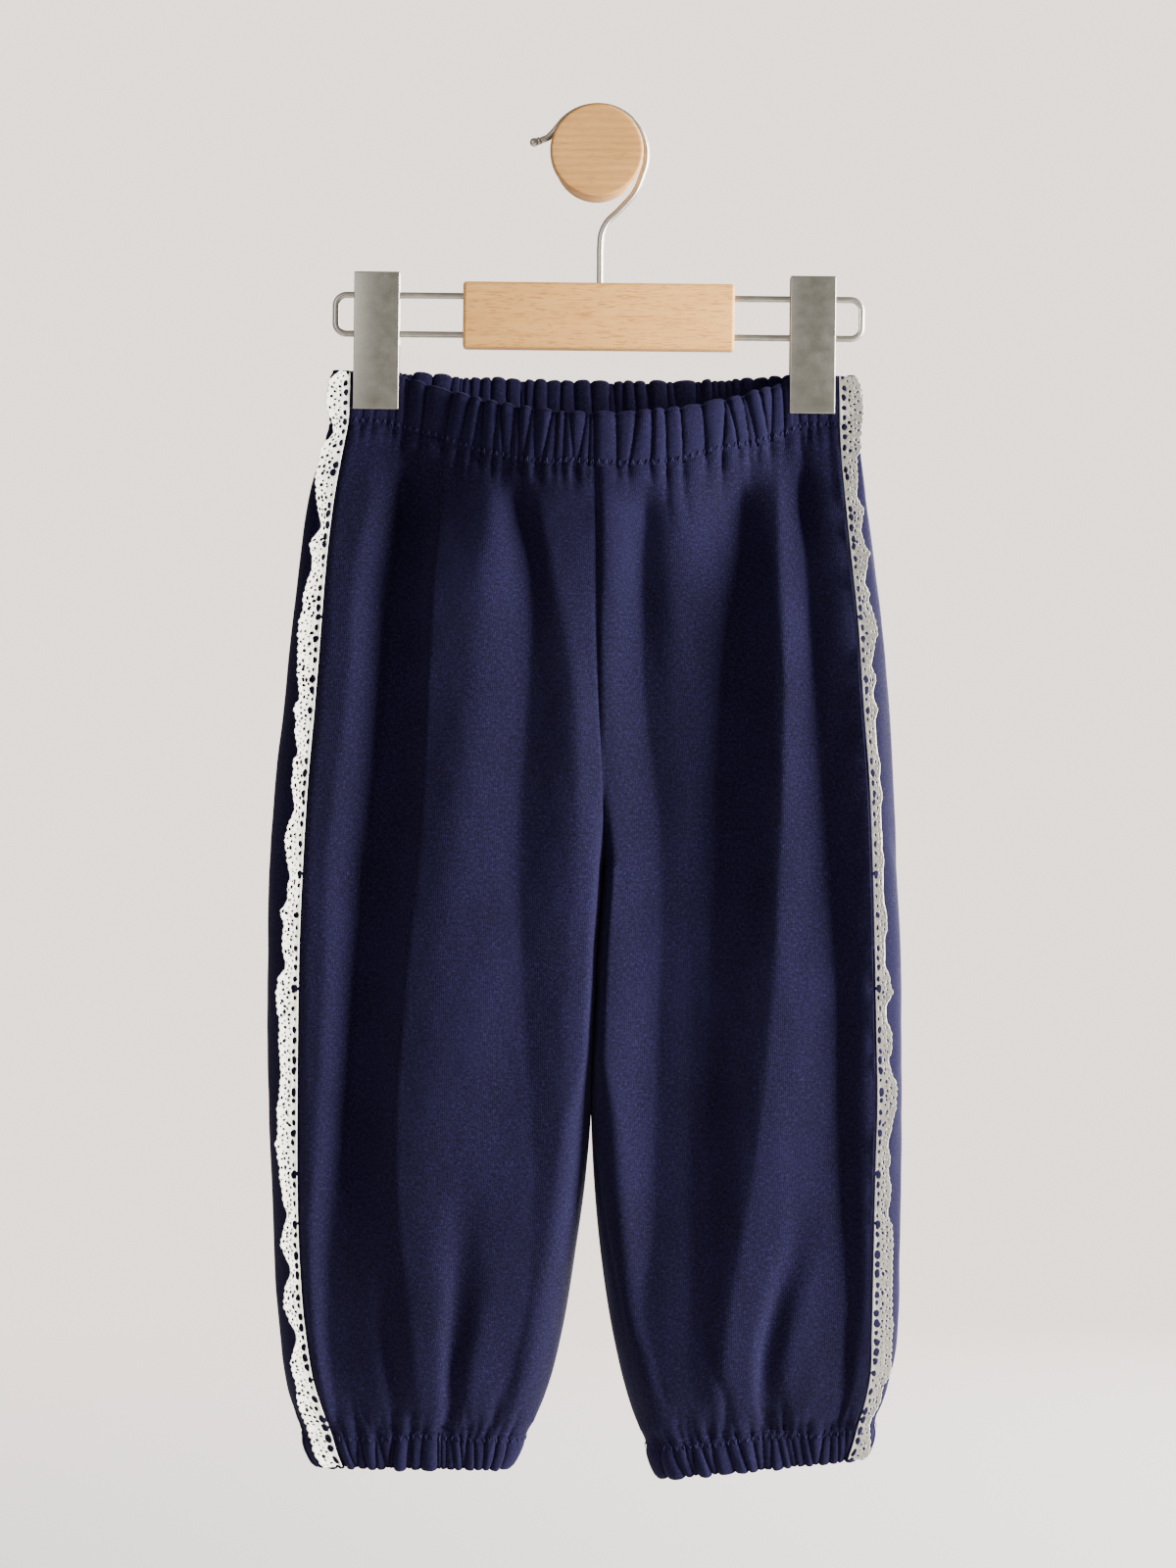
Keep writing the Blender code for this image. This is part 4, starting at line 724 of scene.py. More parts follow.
def fine_panel(half, side, finish):
    """One leg's front or back, from the waistband to the hem casing, as a wall of fleece."""
    front, left = side == "front", half == "left"
    heights, shares, points, out, lengths = panel_surface(half, side)
    top, bottom = heights[0], heights[-1]
    at = shares * lengths
    x, low = points[..., 0], points[..., 2]
    below, above = (heights - top)[:, None] + 0 * at, (bottom - heights)[:, None] + 0 * at

    # At the centre seam the two halves face straight forward or back, so that they meet.
    centre = np.clip(column(DEPTH, "centre", heights), 0, 1)[:, None]
    inward = (1 - shares if front else shares) * lengths
    ahead = (ease(centre / 0.5) * np.exp(-((inward / 3.0) ** 2)))[..., None]
    out = out * (1 - ahead) + np.array([0, -1 if front else 1]) * ahead
    out /= np.linalg.norm(out, axis=2)[..., None]

    # Creases run out of the pinched places of the waistband and of the hem casing.
    upper, lower = band_pinches(side)[1], cuff_pinches(half)[0]
    hem = length_of(panel_line(bottom, half, "front"))
    if front:
        start = 0 if left else length_of(band_line(top, side))
        over, under = abs(start - shares * lengths[0]) + 0 * at, at / lengths * hem
        relief = stroke_relief(FRONT_STROKES[half], x, low)
        hem_lengths = (5, 7)
    else:
        middle = length_of(panel_line(top, "right", "back"))
        over = middle + shares * lengths[0] * (1 if left else -1) + 0 * at
        under = hem + shares * lengths[-1] + 0 * at
        relief = 0 * x
        hem_lengths = (8, 11, 14, 19, 27, 40)
    flush = (1 - 0.85 * np.exp(-((below / 2.5) ** 2))) * (1 - 0.85 * np.exp(-((above / 2.5) ** 2)))
    top_lengths = (7, 10, 13, 17, 22, 30, 44)
    for pinched, place, away, where, creases in ((upper, over, below, "top", top_lengths),
                                                 (lower, under, above, "hem", hem_lengths)):
        mine = pinched[(pinched > place.min() + 2) & (pinched < place.max() - 2)]
        relief += gather_relief(gather_lines(mine, f"{half} {side} {where}", creases), place, away)
    relief *= flush
    seed = {"front": 3, "back": 5}[side] + (10 if left else 0)
    relief += 0.55 * noise(at / 9, low / 24, seed=seed) + 0.22 * noise(at / 3.6, low / 9, seed=seed + 1)

    # The cloth sinks into its seams, and bulges where the legs touch.
    edge = np.minimum(at, lengths - at)
    relief *= ease(edge / 5)
    joined = ease((centre - 0.94) / 0.06)
    bulge = 0.25 if front else 0.8
    by_centre = 0.9 * joined - bulge * (1 - joined) * touch(heights)[:, None]
    furrow = np.where(inward < lengths / 2, by_centre, 0.9)
    relief -= furrow * np.exp(-((edge / 1.1) ** 2))
    for pinched, place, away, reach in ((upper, over, below, 7.0), (lower, under, above, 6.0)):
        near = np.exp(-((away / reach) ** 1.5))
        relief += near * (0.75 * puffs(place, pinched) * ease(0.3 + edge / 5) - 0.35)
        ledge = 0.9 * np.exp(-(((away - 5.5) / 3.0) ** 2)) * ease(edge / 5)
        relief += ledge * (0.6 + noise(place / 8, 0 * place, seed=44))
        points[..., 2] += np.exp(-away / 10) * wander(place, pinched[-1])
    points[..., :2] += out * relief[..., None]

    outer = upright(points)
    inner = outer.copy()
    inner[..., :2] -= out * CLOTH
    rings = np.concatenate([outer, inner[:, ::-1]], axis=1)
    uv = np.stack([at, below], axis=2)
    uv = np.concatenate([uv, uv[:, ::-1]], axis=1)
    # How far the cloth stands out, for the painted highlight that makes its raised folds paler; the inside
    # gets none.
    highlight_height = np.concatenate([relief, 0 * relief - 1], axis=1)
    return skin(f"{side}_panel_{half}_cloth", rings, uv, finish, highlight_height=highlight_height), outer


def puffs(at, pinches):
    """How far the puffs between pinched places stand out, in mm, at places along a casing."""
    i = np.clip(np.searchsorted(pinches, at, side="right") - 1, 0, len(pinches) - 2)
    wide = np.maximum(pinches[i + 1] - pinches[i], 0.1)
    t = np.clip((at - pinches[i]) / wide, 0, 1)
    lean = 0.5 + 0.16 * np.sin(i * 2.3)
    t = np.where(t < lean, 0.5 * t / lean, 0.5 + 0.5 * (t - lean) / (1 - lean))
    tall = np.clip(0.42 * wide, 0.35, 2.3) * (1 + 0.15 * np.sin(i * 1.7))
    return tall * np.sqrt(np.clip(1 - (2 * t - 1) ** 2, 0, 1)) ** 0.85 - 1.6


def casing_profile(fold, seam, thick, outside, over, inside):
    """A casing's section from its seam along the outside, over its folded rim and back along the inside.

    Each place has its height, its inset, and its shares of the puffs and of their lift.
    """
    high = seam - fold
    profile = []
    for t in np.linspace(0, 1, outside):
        round_off = 1 - math.sqrt(max(0.0, 1 - max(0.0, (t - 0.86) / 0.14) ** 2))
        stitched = 0.55 * math.exp(-(((t * abs(high) - 2.4) / 1.9) ** 2))
        inset = 0.35 - 0.85 * math.sin(math.pi * t) ** 0.7 + stitched + round_off * 0.25 * thick
        share = 0.75 + 0.25 * math.sin(math.pi * min(t * 1.4, 1) / 2)
        profile.append((seam - t * (1 - RIM_SHARE) * high, inset, share, t**3))
    for angle in np.linspace(0.25, math.pi - 0.2, over):
        inset = thick / 2 - thick / 2 * math.cos(angle)
        down = fold + RIM_SHARE * high - RIM_SHARE * high * math.sin(angle)
        profile.append((down, max(inset, 0.25 * thick), math.cos(angle), math.sin(angle)))
    for t in np.linspace(0.06, 1, inside):
        profile.append((fold + t * high, thick, -0.8 * (1 - 0.4 * t), 0.5 * (1 - t) ** 2))
    return profile


def casing(name, lines, profile, pinches, columns, closed, finish, half):
    """A gathered casing: its profile swept along its line. Returns the object and its rows of points."""
    shares = np.linspace(0, 1, columns, endpoint=not closed)
    seam = profile[0][0]
    fold = max((row[0] for row in profile), key=lambda down: abs(down - seam))
    rows, highlight_height, uv, reach, last = [], [], [], 0.0, seam
    for down, inset, share, lift in profile:
        points, run, length = along(lines(down), shares, trim=0.0)
        height = (down - seam) / (fold - seam)
        places = pinches[1] + (pinches[0] - pinches[1]) * height
        places = np.maximum.accumulate(places * length / places[-1])
        raised = puffs(shares * length, places)
        pressed = np.where(np.abs(points[:, 0]) > BAND_HALF_SPAN + 1, 0.5, 1.0) if not closed else 1.0
        points[:, 2] += (1 - min(max(height, 0), 1)) * wander(shares * pinches[1][-1], pinches[1][-1])
        crumple = 1 + 0.22 * noise(shares * length / 5, down / 7 + 0 * shares, seed=8)
        stitched = 0.30 * math.exp(-(((abs(down - seam) - 2.4) / 2.2) ** 2))
        pucker = stitched * noise(shares * length / 0.9, down / 1.2 + 0 * shares, seed=12) * (share > 0)
        grain = noise(shares * length / 1.3, down / 0.55 + 0 * shares, seed=17)
        pucker = pucker + 0.07 * grain * (share > 0)
        push = raised * share * pressed * crumple - inset + pucker
        points[:, :2] += outward(run, half) * push[:, None]
        points[:, 2] += math.copysign(1, fold - seam) * lift * (raised + 0.9) * 0.85 * pressed
        rows.append(upright(points))
        reach += abs(down - last) + 0.2
        last = down
        uv.append(np.stack([shares * length * 1.25, 0 * shares + reach], axis=1))
        # How far the puffs stand out, for the painted highlight that makes them paler.
        highlight_height.append(raised * share + 0.6)
    rings = np.array(rows).transpose(1, 0, 2)
    made = skin(name, rings, np.array(uv).transpose(1, 0, 2), finish, closed=closed, highlight_height=np.array(highlight_height).T)
    return made, np.array(rows)


def band_line(down, side):
    """The waistband's line at a height, seam to seam: the left half first in front, the right one behind."""
    left, right = panel_line(down, "left", side), panel_line(down, "right", side)
    if side == "front":
        return [np.append(a, b[::-1][1:]) for a, b in zip(left, right)]
    return [np.append(b[::-1], a[1:]) for a, b in zip(left, right)]


def fine_waistband(side, finish):
    profile = casing_profile(BAND_TOP, BAND_TOP + BAND_HEIGHT, CASING, *BAND_PROFILE)
    return casing(f"waistband_{side}_cloth", lambda down: band_line(down, side), profile, band_pinches(side),
                  BAND_COLUMNS, False, finish, "left")


def cuff_line(down, half):
    """The hem casing's line at a height, once round the leg from the side seam."""
    front, back = panel_line(down, half, "front"), panel_line(down, half, "back")
    return [np.append(a, b[1:]) for a, b in zip(front, back)]


def fine_cuff(half, finish):
    profile = casing_profile(CUFF_BOTTOM[half], CUFF_TOP[half], CUFF_CASING, *CUFF_PROFILE)
    upper, lower = cuff_pinches(half)
    return casing(f"hem_cuff_{half}_cloth", lambda down: cuff_line(down, half), profile, (lower, upper),
                  CUFF_COLUMNS, True, finish, half)


# ---------------------------------------------------------------- lace
def jitter(n, k):
    value = np.sin(n * 12.9898 + k * 78.233) * 43758.5453
    return value - np.floor(value) - 0.5


def lace_cover(u, v, length, wave):
    """Distance in mm to the nearest edge of the lace's threads: more than 0 where there is thread."""
    edge_u, edge_v = u, v
    u, v = u + 0.38 * noise(u / 0.7, v / 0.8, seed=21), v + 0.38 * noise(v / 0.7, u / 0.8, seed=22)
    n = np.floor(v / LACE_PITCH * 1.5)
    scallop = LACE_WIDE - 0.7 + np.abs(np.sin(math.pi * v / LACE_PITCH * 1.5)) + 0.8 * jitter(n, 3) + wave
    cover = np.minimum.reduce([edge_u, scallop - edge_u, edge_v, length - edge_v])
    for k, (hole_u, phase, half_u, half_v) in enumerate(LACE_HOLES):
        n = np.round(v / LACE_PITCH - phase)
        middle_u = hole_u + 0.7 * jitter(n, k)
        middle_v = (n + phase) * LACE_PITCH + 1.3 * jitter(n, k + 31)
        size = 1.08 + 0.9 * jitter(n, k + 57)
        away = np.hypot((u - middle_u) / (half_u * size), (v - middle_v) / (half_v * size)) - 1
        cover = np.minimum(cover, away * min(half_u, half_v) * size)
    return cover


def lace_surface(half):
    """Rows down the strip and columns across it, on the surface that the ruffled lace lies along."""
    sign = -1 if half == "left" else 1
    table = np.array(LACE_FREE_EDGE[half])
    columns = np.linspace(0, LACE_WIDE + LACE_PAST, 22)
    rows, downs = [], np.arange(BAND_TOP + 0.2, CUFF_BOTTOM[half] - 0.2, 1.0)
    starts, firsts = [], []
    for down in downs:
        line = panel_line(down, half, "back")
        points, run, _ = along(line, 1 - np.array([0.3, 4.0]) / along(line, [0.0], trim=0)[2], trim=0)
        start = points[0].copy()
        start[:2] += outward(run, half)[0] * LACE_CLEAR
        starts.append(start)
        gone = points[1] - points[0]
        firsts.append(math.atan2(-gone[1], sign * gone[0]))
    starts, firsts = np.array(starts), np.array(firsts)

    # Each row starts near the panel's own direction, and turns ahead until it is as wide as the front shows.
    free = np.interp(starts[:, 2], table[:, 0], table[:, 1])
    free = np.convolve(np.pad(free, 1, mode="edge"), [0.25, 0.5, 0.25], mode="valid")
    want = np.clip(sign * (free - starts[:, 0]), 3.0, LACE_WIDE)
    first = np.clip(firsts, math.radians(-14), math.radians(6))
    eased = np.clip(want / 0.88, 8.0, LACE_WIDE)
    low, high = first.copy(), np.full_like(first, math.radians(105))
    t = np.linspace(0, 1, 40)
    for _ in range(26):
        last = (low + high) / 2
        heading = first[:, None] + (last - first)[:, None] * t**0.8
        span = np.cos(heading).mean(axis=1) * eased
        low, high = np.where(span > want, last, low), np.where(span > want, high, last)
    last = np.convolve(np.pad(last, 2, mode="edge"), [0.1, 0.2, 0.4, 0.2, 0.1], mode="valid")
    for start, a, b, wide in zip(starts, first, last, eased):
        shares = np.clip(columns / LACE_WIDE, 0, 1.12)
        heading = a + (b - a) * shares**0.8
        steps = np.append(0, np.diff(columns)) * wide / LACE_WIDE
        across = sign * np.cumsum(steps * np.cos(heading))
        ahead = -np.cumsum(steps * np.sin(heading))
        rows.append(np.stack([start[0] + across, start[1] + ahead, start[2] + 0 * across], axis=1))
    return upright(np.array(rows)), columns


def fine_lace(half, finish):
    """The lace: two layers over a pattern of holes that meet at the holes' and the strip's edges."""
    surface, columns = lace_surface(half)
    normal = facing(surface, half) * -1
    normal *= np.where(normal[:1, :1, 1:2] > 0, -1, 1)
    length = float(len(surface) - 1)
    us = np.arange(-LACE_GRID, LACE_WIDE + LACE_PAST, LACE_GRID)
    vs = np.arange(-LACE_GRID, length + 1.01 * LACE_GRID, LACE_GRID)
    u, v = np.meshgrid(us, vs)
    cover = lace_cover(u, v, length, 0.5 * noise(v / 2.3, 0 * v, seed=4))
    cover[:, -1] = -1
    wide = len(us)
    keep = cover > 0
    number = -np.ones(cover.size, int)
    inside = np.flatnonzero(keep.ravel())
    number[inside] = np.arange(len(inside))
    flat_u, flat_v, flat_cover = u.ravel(), v.ravel(), cover.ravel()
    places = np.stack([flat_u[inside], flat_v[inside]], axis=1)
    crossings, cross_points = {}, []
    quads = keep[:-1, :-1] & keep[:-1, 1:] & keep[1:, 1:] & keep[1:, :-1]
    some = keep[:-1, :-1] | keep[:-1, 1:] | keep[1:, 1:] | keep[1:, :-1]
    rows, cells = np.nonzero(quads)
    corner = rows * wide + cells
    full = number[np.stack([corner, corner + 1, corner + wide + 1, corner + wide], axis=1)]
    front, back = full.tolist(), (full[:, ::-1] + len(inside)).tolist()

    # Cells that an edge crosses are filled up to it, where both layers share the points.
    base = 2 * len(inside)
    for row, cell in zip(*np.nonzero(some & ~quads)):
        corner = row * wide + cell
        around = (corner, corner + 1, corner + wide + 1, corner + wide)
        upper, lower = [], []
        for a, b in zip(around, around[1:] + around[:1]):
            if number[a] >= 0:
                upper.append(int(number[a]))
                lower.append(int(number[a]) + len(inside))
            if (number[a] >= 0) != (number[b] >= 0):
                key = (min(a, b), max(a, b))
                if key not in crossings:
                    crossings[key] = base + len(cross_points)
                    t = flat_cover[key[0]] / (flat_cover[key[0]] - flat_cover[key[1]])
                    cross_points.append([flat_u[key[0]] + t * (flat_u[key[1]] - flat_u[key[0]]),
                                         flat_v[key[0]] + t * (flat_v[key[1]] - flat_v[key[0]])])
                upper.append(crossings[key])
                lower.append(crossings[key])
        if len(upper) > 2:
            front.append(upper)
            back.append(lower[::-1])

    uv = np.concatenate([places, places, np.array(cross_points)])
    thick = LACE_HALF_THICK * np.sqrt(np.clip(flat_cover[inside] / 0.5, 0, 1))
    lift = np.concatenate([thick, -thick, np.zeros(len(cross_points))])
    at_u = np.clip(np.interp(uv[:, 0], columns, np.arange(len(columns))), 0, len(columns) - 1.001)
    at_v = np.clip(uv[:, 1], 0, len(surface) - 1.001)
    i, j = at_v.astype(int), at_u.astype(int)
    s, t = (at_v - i)[:, None], (at_u - j)[:, None]

    def blend(grid):
        upper = grid[i, j] * (1 - t) + grid[i, j + 1] * t
        lower = grid[i + 1, j] * (1 - t) + grid[i + 1, j + 1] * t
        return upper * (1 - s) + lower * s

    wave = 0.35 * noise(uv[:, 1] / 3.1, uv[:, 0] / 3.5, seed=9) * np.clip(uv[:, 0] / LACE_WIDE, 0, 1)
    points = blend(surface) + blend(normal) * (lift + wave)[:, None]
    return mesh_object(f"lace_trim_{half}_crochet", points, front + back, finish, uv), surface, normal


# ---------------------------------------------------------------- stitches
def stitches(name, grid, normals, rows, finish, step=1.7, slant=0.8, radius=0.2):
    """A zigzag of short thread stitches on a surface, between two rows of its grid."""
    ring = [(math.cos(a), math.sin(a)) for a in np.linspace(0, 2 * math.pi, 5, endpoint=False)]
    points, polygons = [], []

    def at(row, values):
        i = min(int(row), len(grid) - 2)
        return values[i] * (i + 1 - row) + values[i + 1] * (row - i)

    ends = [(at(row, grid), at(row, normals)) for row in rows]
    reach = [np.append(0, np.cumsum(np.linalg.norm(np.diff(line, axis=0), axis=1))) for line, _ in ends]
    for k in range(int(reach[0][-1] / step)):
        spots = []
        for (line, out), length, shift in zip(ends, reach, (0.2, 0.2 + slant)):
            place = (k + 0.5) * step / reach[0][-1] * length[-1] + shift * (1 if k % 2 else -1)
            point = np.array([np.interp(place, length, line[:, axis]) for axis in range(3)])
            normal = np.array([np.interp(place, length, out[:, axis]) for axis in range(3)])
            spots.append((point + 0.25 * normal, normal))
        (a, out), (b, _) = spots
        run = (b - a) / np.linalg.norm(b - a)
        side = np.cross(run, out)
        side /= np.linalg.norm(side)
        up = np.cross(side, run)
        # Three rings of five points along the stitch, and a point at each of its ends.
        base = len(points)
        points.append(a - 0.1 * out)
        for t, size in ((0.08, 0.75), (0.5, 1.0), (0.92, 0.75)):
            middle = a + (b - a) * t + out * 0.25 * math.sin(math.pi * t)
            points.extend(middle + radius * size * (c * side + s * up) for c, s in ring)
        points.append(b - 0.1 * out)
        for n in range(5):
            m = (n + 1) % 5
            polygons.append((base, base + 1 + m, base + 1 + n))
            for r in (1, 6):
                polygons.append((base + r + n, base + r + m, base + r + m + 5, base + r + n + 5))
            polygons.append((base + 16, base + 11 + n, base + 11 + m))
    return mesh_object(name, points, polygons, finish)


# ---------------------------------------------------------------- finishes
class Finish:
    """A procedural material, built node by node."""

    def __init__(self, name, roughness, metallic=0.0, **values):
        self.made = bpy.data.materials.new(name)
        self.made.use_nodes = True
        self.nodes, self.links = self.made.node_tree.nodes, self.made.node_tree.links
        self.shader = self.nodes["Principled BSDF"]
        self.bump = None
        self.set(self.shader, {"Roughness": roughness, "Metallic": metallic, **values})
        self.place = self.nodes.new("ShaderNodeTexCoord")

    def fill(self, socket, value):
        """Joins a socket to another one, or gives it a value of its own."""
        if isinstance(value, bpy.types.NodeSocket):
            self.links.new(value, socket)
        elif value is not None:
            socket.default_value = value

    def set(self, node, values):
        for name, value in values.items():
            self.fill(node.inputs[name], value)

    def node(self, kind, values=None, **settings):
        made = self.nodes.new(kind)
        for name, value in settings.items():
            setattr(made, name, value)
        self.set(made, values or {})
        return made

    def scaled(self, source, scale):
        values = {"Vector": self.place.outputs[source], "Scale": scale}
        return self.node("ShaderNodeMapping", values).outputs[0]

    def turned(self, vector, angle):
        return self.node("ShaderNodeMapping", {"Vector": vector, "Rotation": (0, 0, angle)}).outputs[0]

    def noise(self, vector, scale, detail=3.0, roughness=0.55):
        values = {"Vector": vector, "Scale": scale, "Detail": detail, "Roughness": roughness}
        return self.node("ShaderNodeTexNoise", values).outputs[0]

    def wave(self, vector, scale, direction="X", distortion=0.0, detail=1.0, detail_scale=1.0):
        values = {"Vector": vector, "Scale": scale, "Distortion": distortion, "Detail": detail,
                  "Detail Scale": detail_scale}
        made = self.node("ShaderNodeTexWave", values, wave_type="BANDS", bands_direction=direction)
        return made.outputs["Fac"]

    def maths(self, operation, a, b):
        made = self.node("ShaderNodeMath", operation=operation)
        for socket, value in zip(made.inputs, (a, b)):
            self.fill(socket, value)
        return made.outputs[0]

    def ramp(self, factor, *stops):
        made = self.node("ShaderNodeValToRGB", {"Fac": factor})
        marks = made.color_ramp.elements
        while len(marks) < len(stops):
            marks.new(0.5)
        for mark, (place, colour) in zip(marks, stops):
            mark.position = place
            mark.color = (*colour, 1)
        return made.outputs[0]

    def mix(self, kind, factor, a, b):
        """A mix of two colours, whose sockets are the seventh and eighth of the node's."""
        made = self.node("ShaderNodeMix", data_type="RGBA", blend_type=kind)
        self.fill(made.inputs[0], factor)
        for socket, value in zip(made.inputs[6:8], (a, b)):
            self.fill(socket, (*value, 1) if isinstance(value, tuple) else value)
        return made.outputs[2]

    def tint(self, base, factor, *stops):
        """A colour made lighter and darker by a ramp of greys over a factor."""
        greys = self.ramp(factor, *((place, grey(shade)) for place, shade in stops))
        return self.mix("MULTIPLY", 1.0, base, greys)

    def raise_by(self, height, strength, distance):
        values = {"Height": height, "Strength": strength, "Distance": distance * MM, "Normal": self.bump}
        self.bump = self.node("ShaderNodeBump", values).outputs[0]

    def done(self, colour):
        self.set(self.shader, {"Base Color": colour, "Normal": self.bump})
        return self.made


def grey(value):
    return (value, value, value)


def navy_fleece():
    """Sweatshirt jersey: fine upright wales with painted shade in their grooves, a little nap and lint,
    painted highlight on raised cloth.
    """
    sheen = {"Sheen Weight": 0.05, "Sheen Roughness": 0.50, "Sheen Tint": (0.55, 0.52, 1.0, 1)}
    cloth = Finish("navy_fleece_knit", 0.90, **sheen, **{"Specular IOR Level": 0.09})
    flat = cloth.place.outputs["UV"]
    wales = cloth.wave(flat, 3.3, "X", 0.5, 1.0, 1.5)
    courses = cloth.wave(flat, 2.7, "Y", 1.2, 1.0, 2.0)
    fuzz = cloth.noise(flat, 7.0, 6.0, 0.85)
    wisps = cloth.noise(cloth.scaled("UV", (16.0, 5.0, 1.0)), 1.0, 3.0, 0.6)
    bars = cloth.noise(cloth.scaled("UV", (4.0, 17.0, 1.0)), 1.0, 3.0, 0.6)
    broad = cloth.noise(cloth.place.outputs["Object"], 26.0, 2.0)
    cloth.raise_by(cloth.maths("MULTIPLY", wales, cloth.maths("ADD", 0.6, courses)), 0.22, 0.14)
    cloth.raise_by(fuzz, 0.60, 0.25)
    base = cloth.ramp(fuzz, (0.34, (0.0017, 0.0013, 0.0074)), (0.50, (0.0047, 0.0036, 0.0180)),
                      (0.66, (0.0122, 0.0094, 0.0415)))
    base = cloth.tint(base, wisps, (0.32, 0.50), (0.68, 1.50))
    base = cloth.tint(base, bars, (0.32, 0.58), (0.68, 1.42))
    base = cloth.tint(base, broad, (0.3, 0.86), (0.7, 1.12))
    # Painted shade and highlight: darker in the grooves between the wales and lighter on their tops.
    base = cloth.tint(base, wales, (0.0, 0.80), (0.8, 1.08))
    # Painted highlight: the cloth is mixed towards a paler navy where it stands out, as if lit there.
    highlight_height = cloth.node("ShaderNodeAttribute", attribute_name="highlight_height").outputs["Fac"]
    raised_highlight = cloth.ramp(highlight_height, (0.0, grey(0.0)), (1.0, grey(1.0)))
    base = cloth.mix("MIX", cloth.maths("MULTIPLY", raised_highlight, 0.22), base, (0.0104, 0.0082, 0.0370))
    spots = cloth.node("ShaderNodeTexVoronoi", {"Vector": flat, "Scale": 1.9}).outputs["Distance"]
    lint = cloth.ramp(spots, (0.0, grey(1.0)), (0.035, grey(0.0)))
    base = cloth.mix("MIX", cloth.maths("MULTIPLY", lint, 0.45), base, (0.12, 0.12, 0.24))
    return cloth.done(base)


def navy_thread():
    thread = Finish("navy_thread", 0.8, **{"Specular IOR Level": 0.15})
    twist = thread.wave(thread.scaled("Object", (1, 0.4, 1)), 900.0, "DIAGONAL", 2.0)
    thread.raise_by(twist, 0.5, 0.12)
    tone = thread.noise(thread.place.outputs["Object"], 400.0)
    return thread.done(thread.ramp(tone, (0.3, (0.012, 0.0110, 0.040)), (0.7, (0.024, 0.0220, 0.072))))


def cotton_lace():
    """Ivory cotton: twisted threads that cross on the slant, slightly uneven in tone, with painted shade
    between the threads.
    """
    sheen = {"Sheen Weight": 0.35, "Sheen Tint": (1.0, 0.97, 0.9, 1)}
    lace = Finish("ivory_crochet_cotton", 0.85, **sheen, **{"Specular IOR Level": 0.25})
    flat = lace.place.outputs["UV"]
    one = lace.wave(lace.turned(flat, 0.75), 5.2, "X", 3.0, 2.0, 2.5)
    two = lace.wave(lace.turned(flat, -0.8), 4.6, "X", 3.0, 2.0, 2.5)
    threads = lace.maths("MAXIMUM", one, two)
    lace.raise_by(threads, 0.28, 0.20)
    lace.raise_by(lace.noise(flat, 30.0, 3.0), 0.3, 0.1)
    tone = lace.ramp(lace.noise(flat, 3.0, 3.0), (0.3, (0.86, 0.82, 0.72)), (0.7, (0.95, 0.92, 0.84)))
    # Painted shade: darker, warmer ivory in the grooves between the threads.
    tone = lace.mix("MULTIPLY", 1.0, tone, lace.ramp(threads, (0.0, (0.80, 0.76, 0.68)), (0.65, grey(1.0))))
    return lace.done(tone)


def pale_wood(name, light, dark, fleck, flecks, wavy):
    """Beech or ash: long soft grain along the wood, with many short dark rays lying in it."""
    wood = Finish(name, 0.5, **{"Specular IOR Level": 0.35})
    grain = wood.noise(wood.scaled("Object", (14, 90, 150)), 2.0, 4.0, 0.6)
    tone = wood.ramp(grain, (0.25, dark), (0.70, light))
    year = wood.wave(wood.scaled("Object", (9, 60, 60)), 1.5, "Z", 5.0, 3.0, 1.0)
    tone = wood.mix("MULTIPLY", wavy, tone, wood.ramp(year, (0.0, grey(0.72)), (0.8, grey(1.04))))
    rays = wood.noise(wood.scaled("Object", (190, 1300, 2100)), 1.0, 1.5, 0.5)
    mark = wood.ramp(rays, (0.56, grey(0.0)), (0.66, grey(1.0)))
    tone = wood.mix("MIX", wood.maths("MULTIPLY", mark, flecks), tone, fleck)
    wood.raise_by(rays, 0.2, -0.12)
    wood.raise_by(grain, 0.12, 0.15)
    wood.set(wood.shader, {"Roughness": wood.ramp(grain, (0.2, grey(0.58)), (0.8, grey(0.45)))})
    return wood.done(tone)


def satin_nickel(name, shade, roughness, mottled):
    """Brushed nickel plate: fine cross brushing over a soft mottle."""
    metal = Finish(name, roughness, 1.0)
    cloud = metal.noise(metal.place.outputs["Object"], 140.0, 4.0, 0.6)
    fine = metal.noise(metal.place.outputs["Object"], 1100.0, 2.0)
    if mottled:
        metal.raise_by(fine, 0.12, 0.05)
        metal.raise_by(cloud, 0.12 * mottled, 0.2)
    rough = metal.ramp(cloud, (0.3, grey(roughness - 0.03)), (0.7, grey(roughness + 0.05)))
    metal.set(metal.shader, {"Roughness": rough})
    low, high = tuple(0.92 * c for c in shade), tuple(1.08 * c for c in shade)
    tone = metal.ramp(metal.mix("MIX", 0.5 if mottled else 0.0, cloud, fine), (0.35, low), (0.65, high))
    return metal.done(tone)


# ---------------------------------------------------------------- hanger and knob
HOOK_SHANK_X = 0.4
HOOK_CENTRE = (-1.23, 74.8)  # of the bend, from the bar's middle
HOOK_TIP = [(-30.6, 80.2), (-27.4, 81.2), (-24.2, 82.6), (-21.9, 84.9)]
HOOK_BALL = [  # place along the tip from its first point, and radius: the ball, then its collar
    (2.05, 0.05), (1.95, 0.6), (1.6, 1.35), (1.0, 1.9), (0.3, 2.1), (-0.6, 2.0), (-1.3, 1.75), (-1.8, 1.5),
    (-2.0, 1.85), (-2.8, 1.85), (-3.0, HOOK_WIRE),
]
HOOK_NECK = [(16.6, 58.7), (9.4, 49.8), (3.0, 43.1), (1.0, 38.6), (HOOK_SHANK_X, 32.5)]


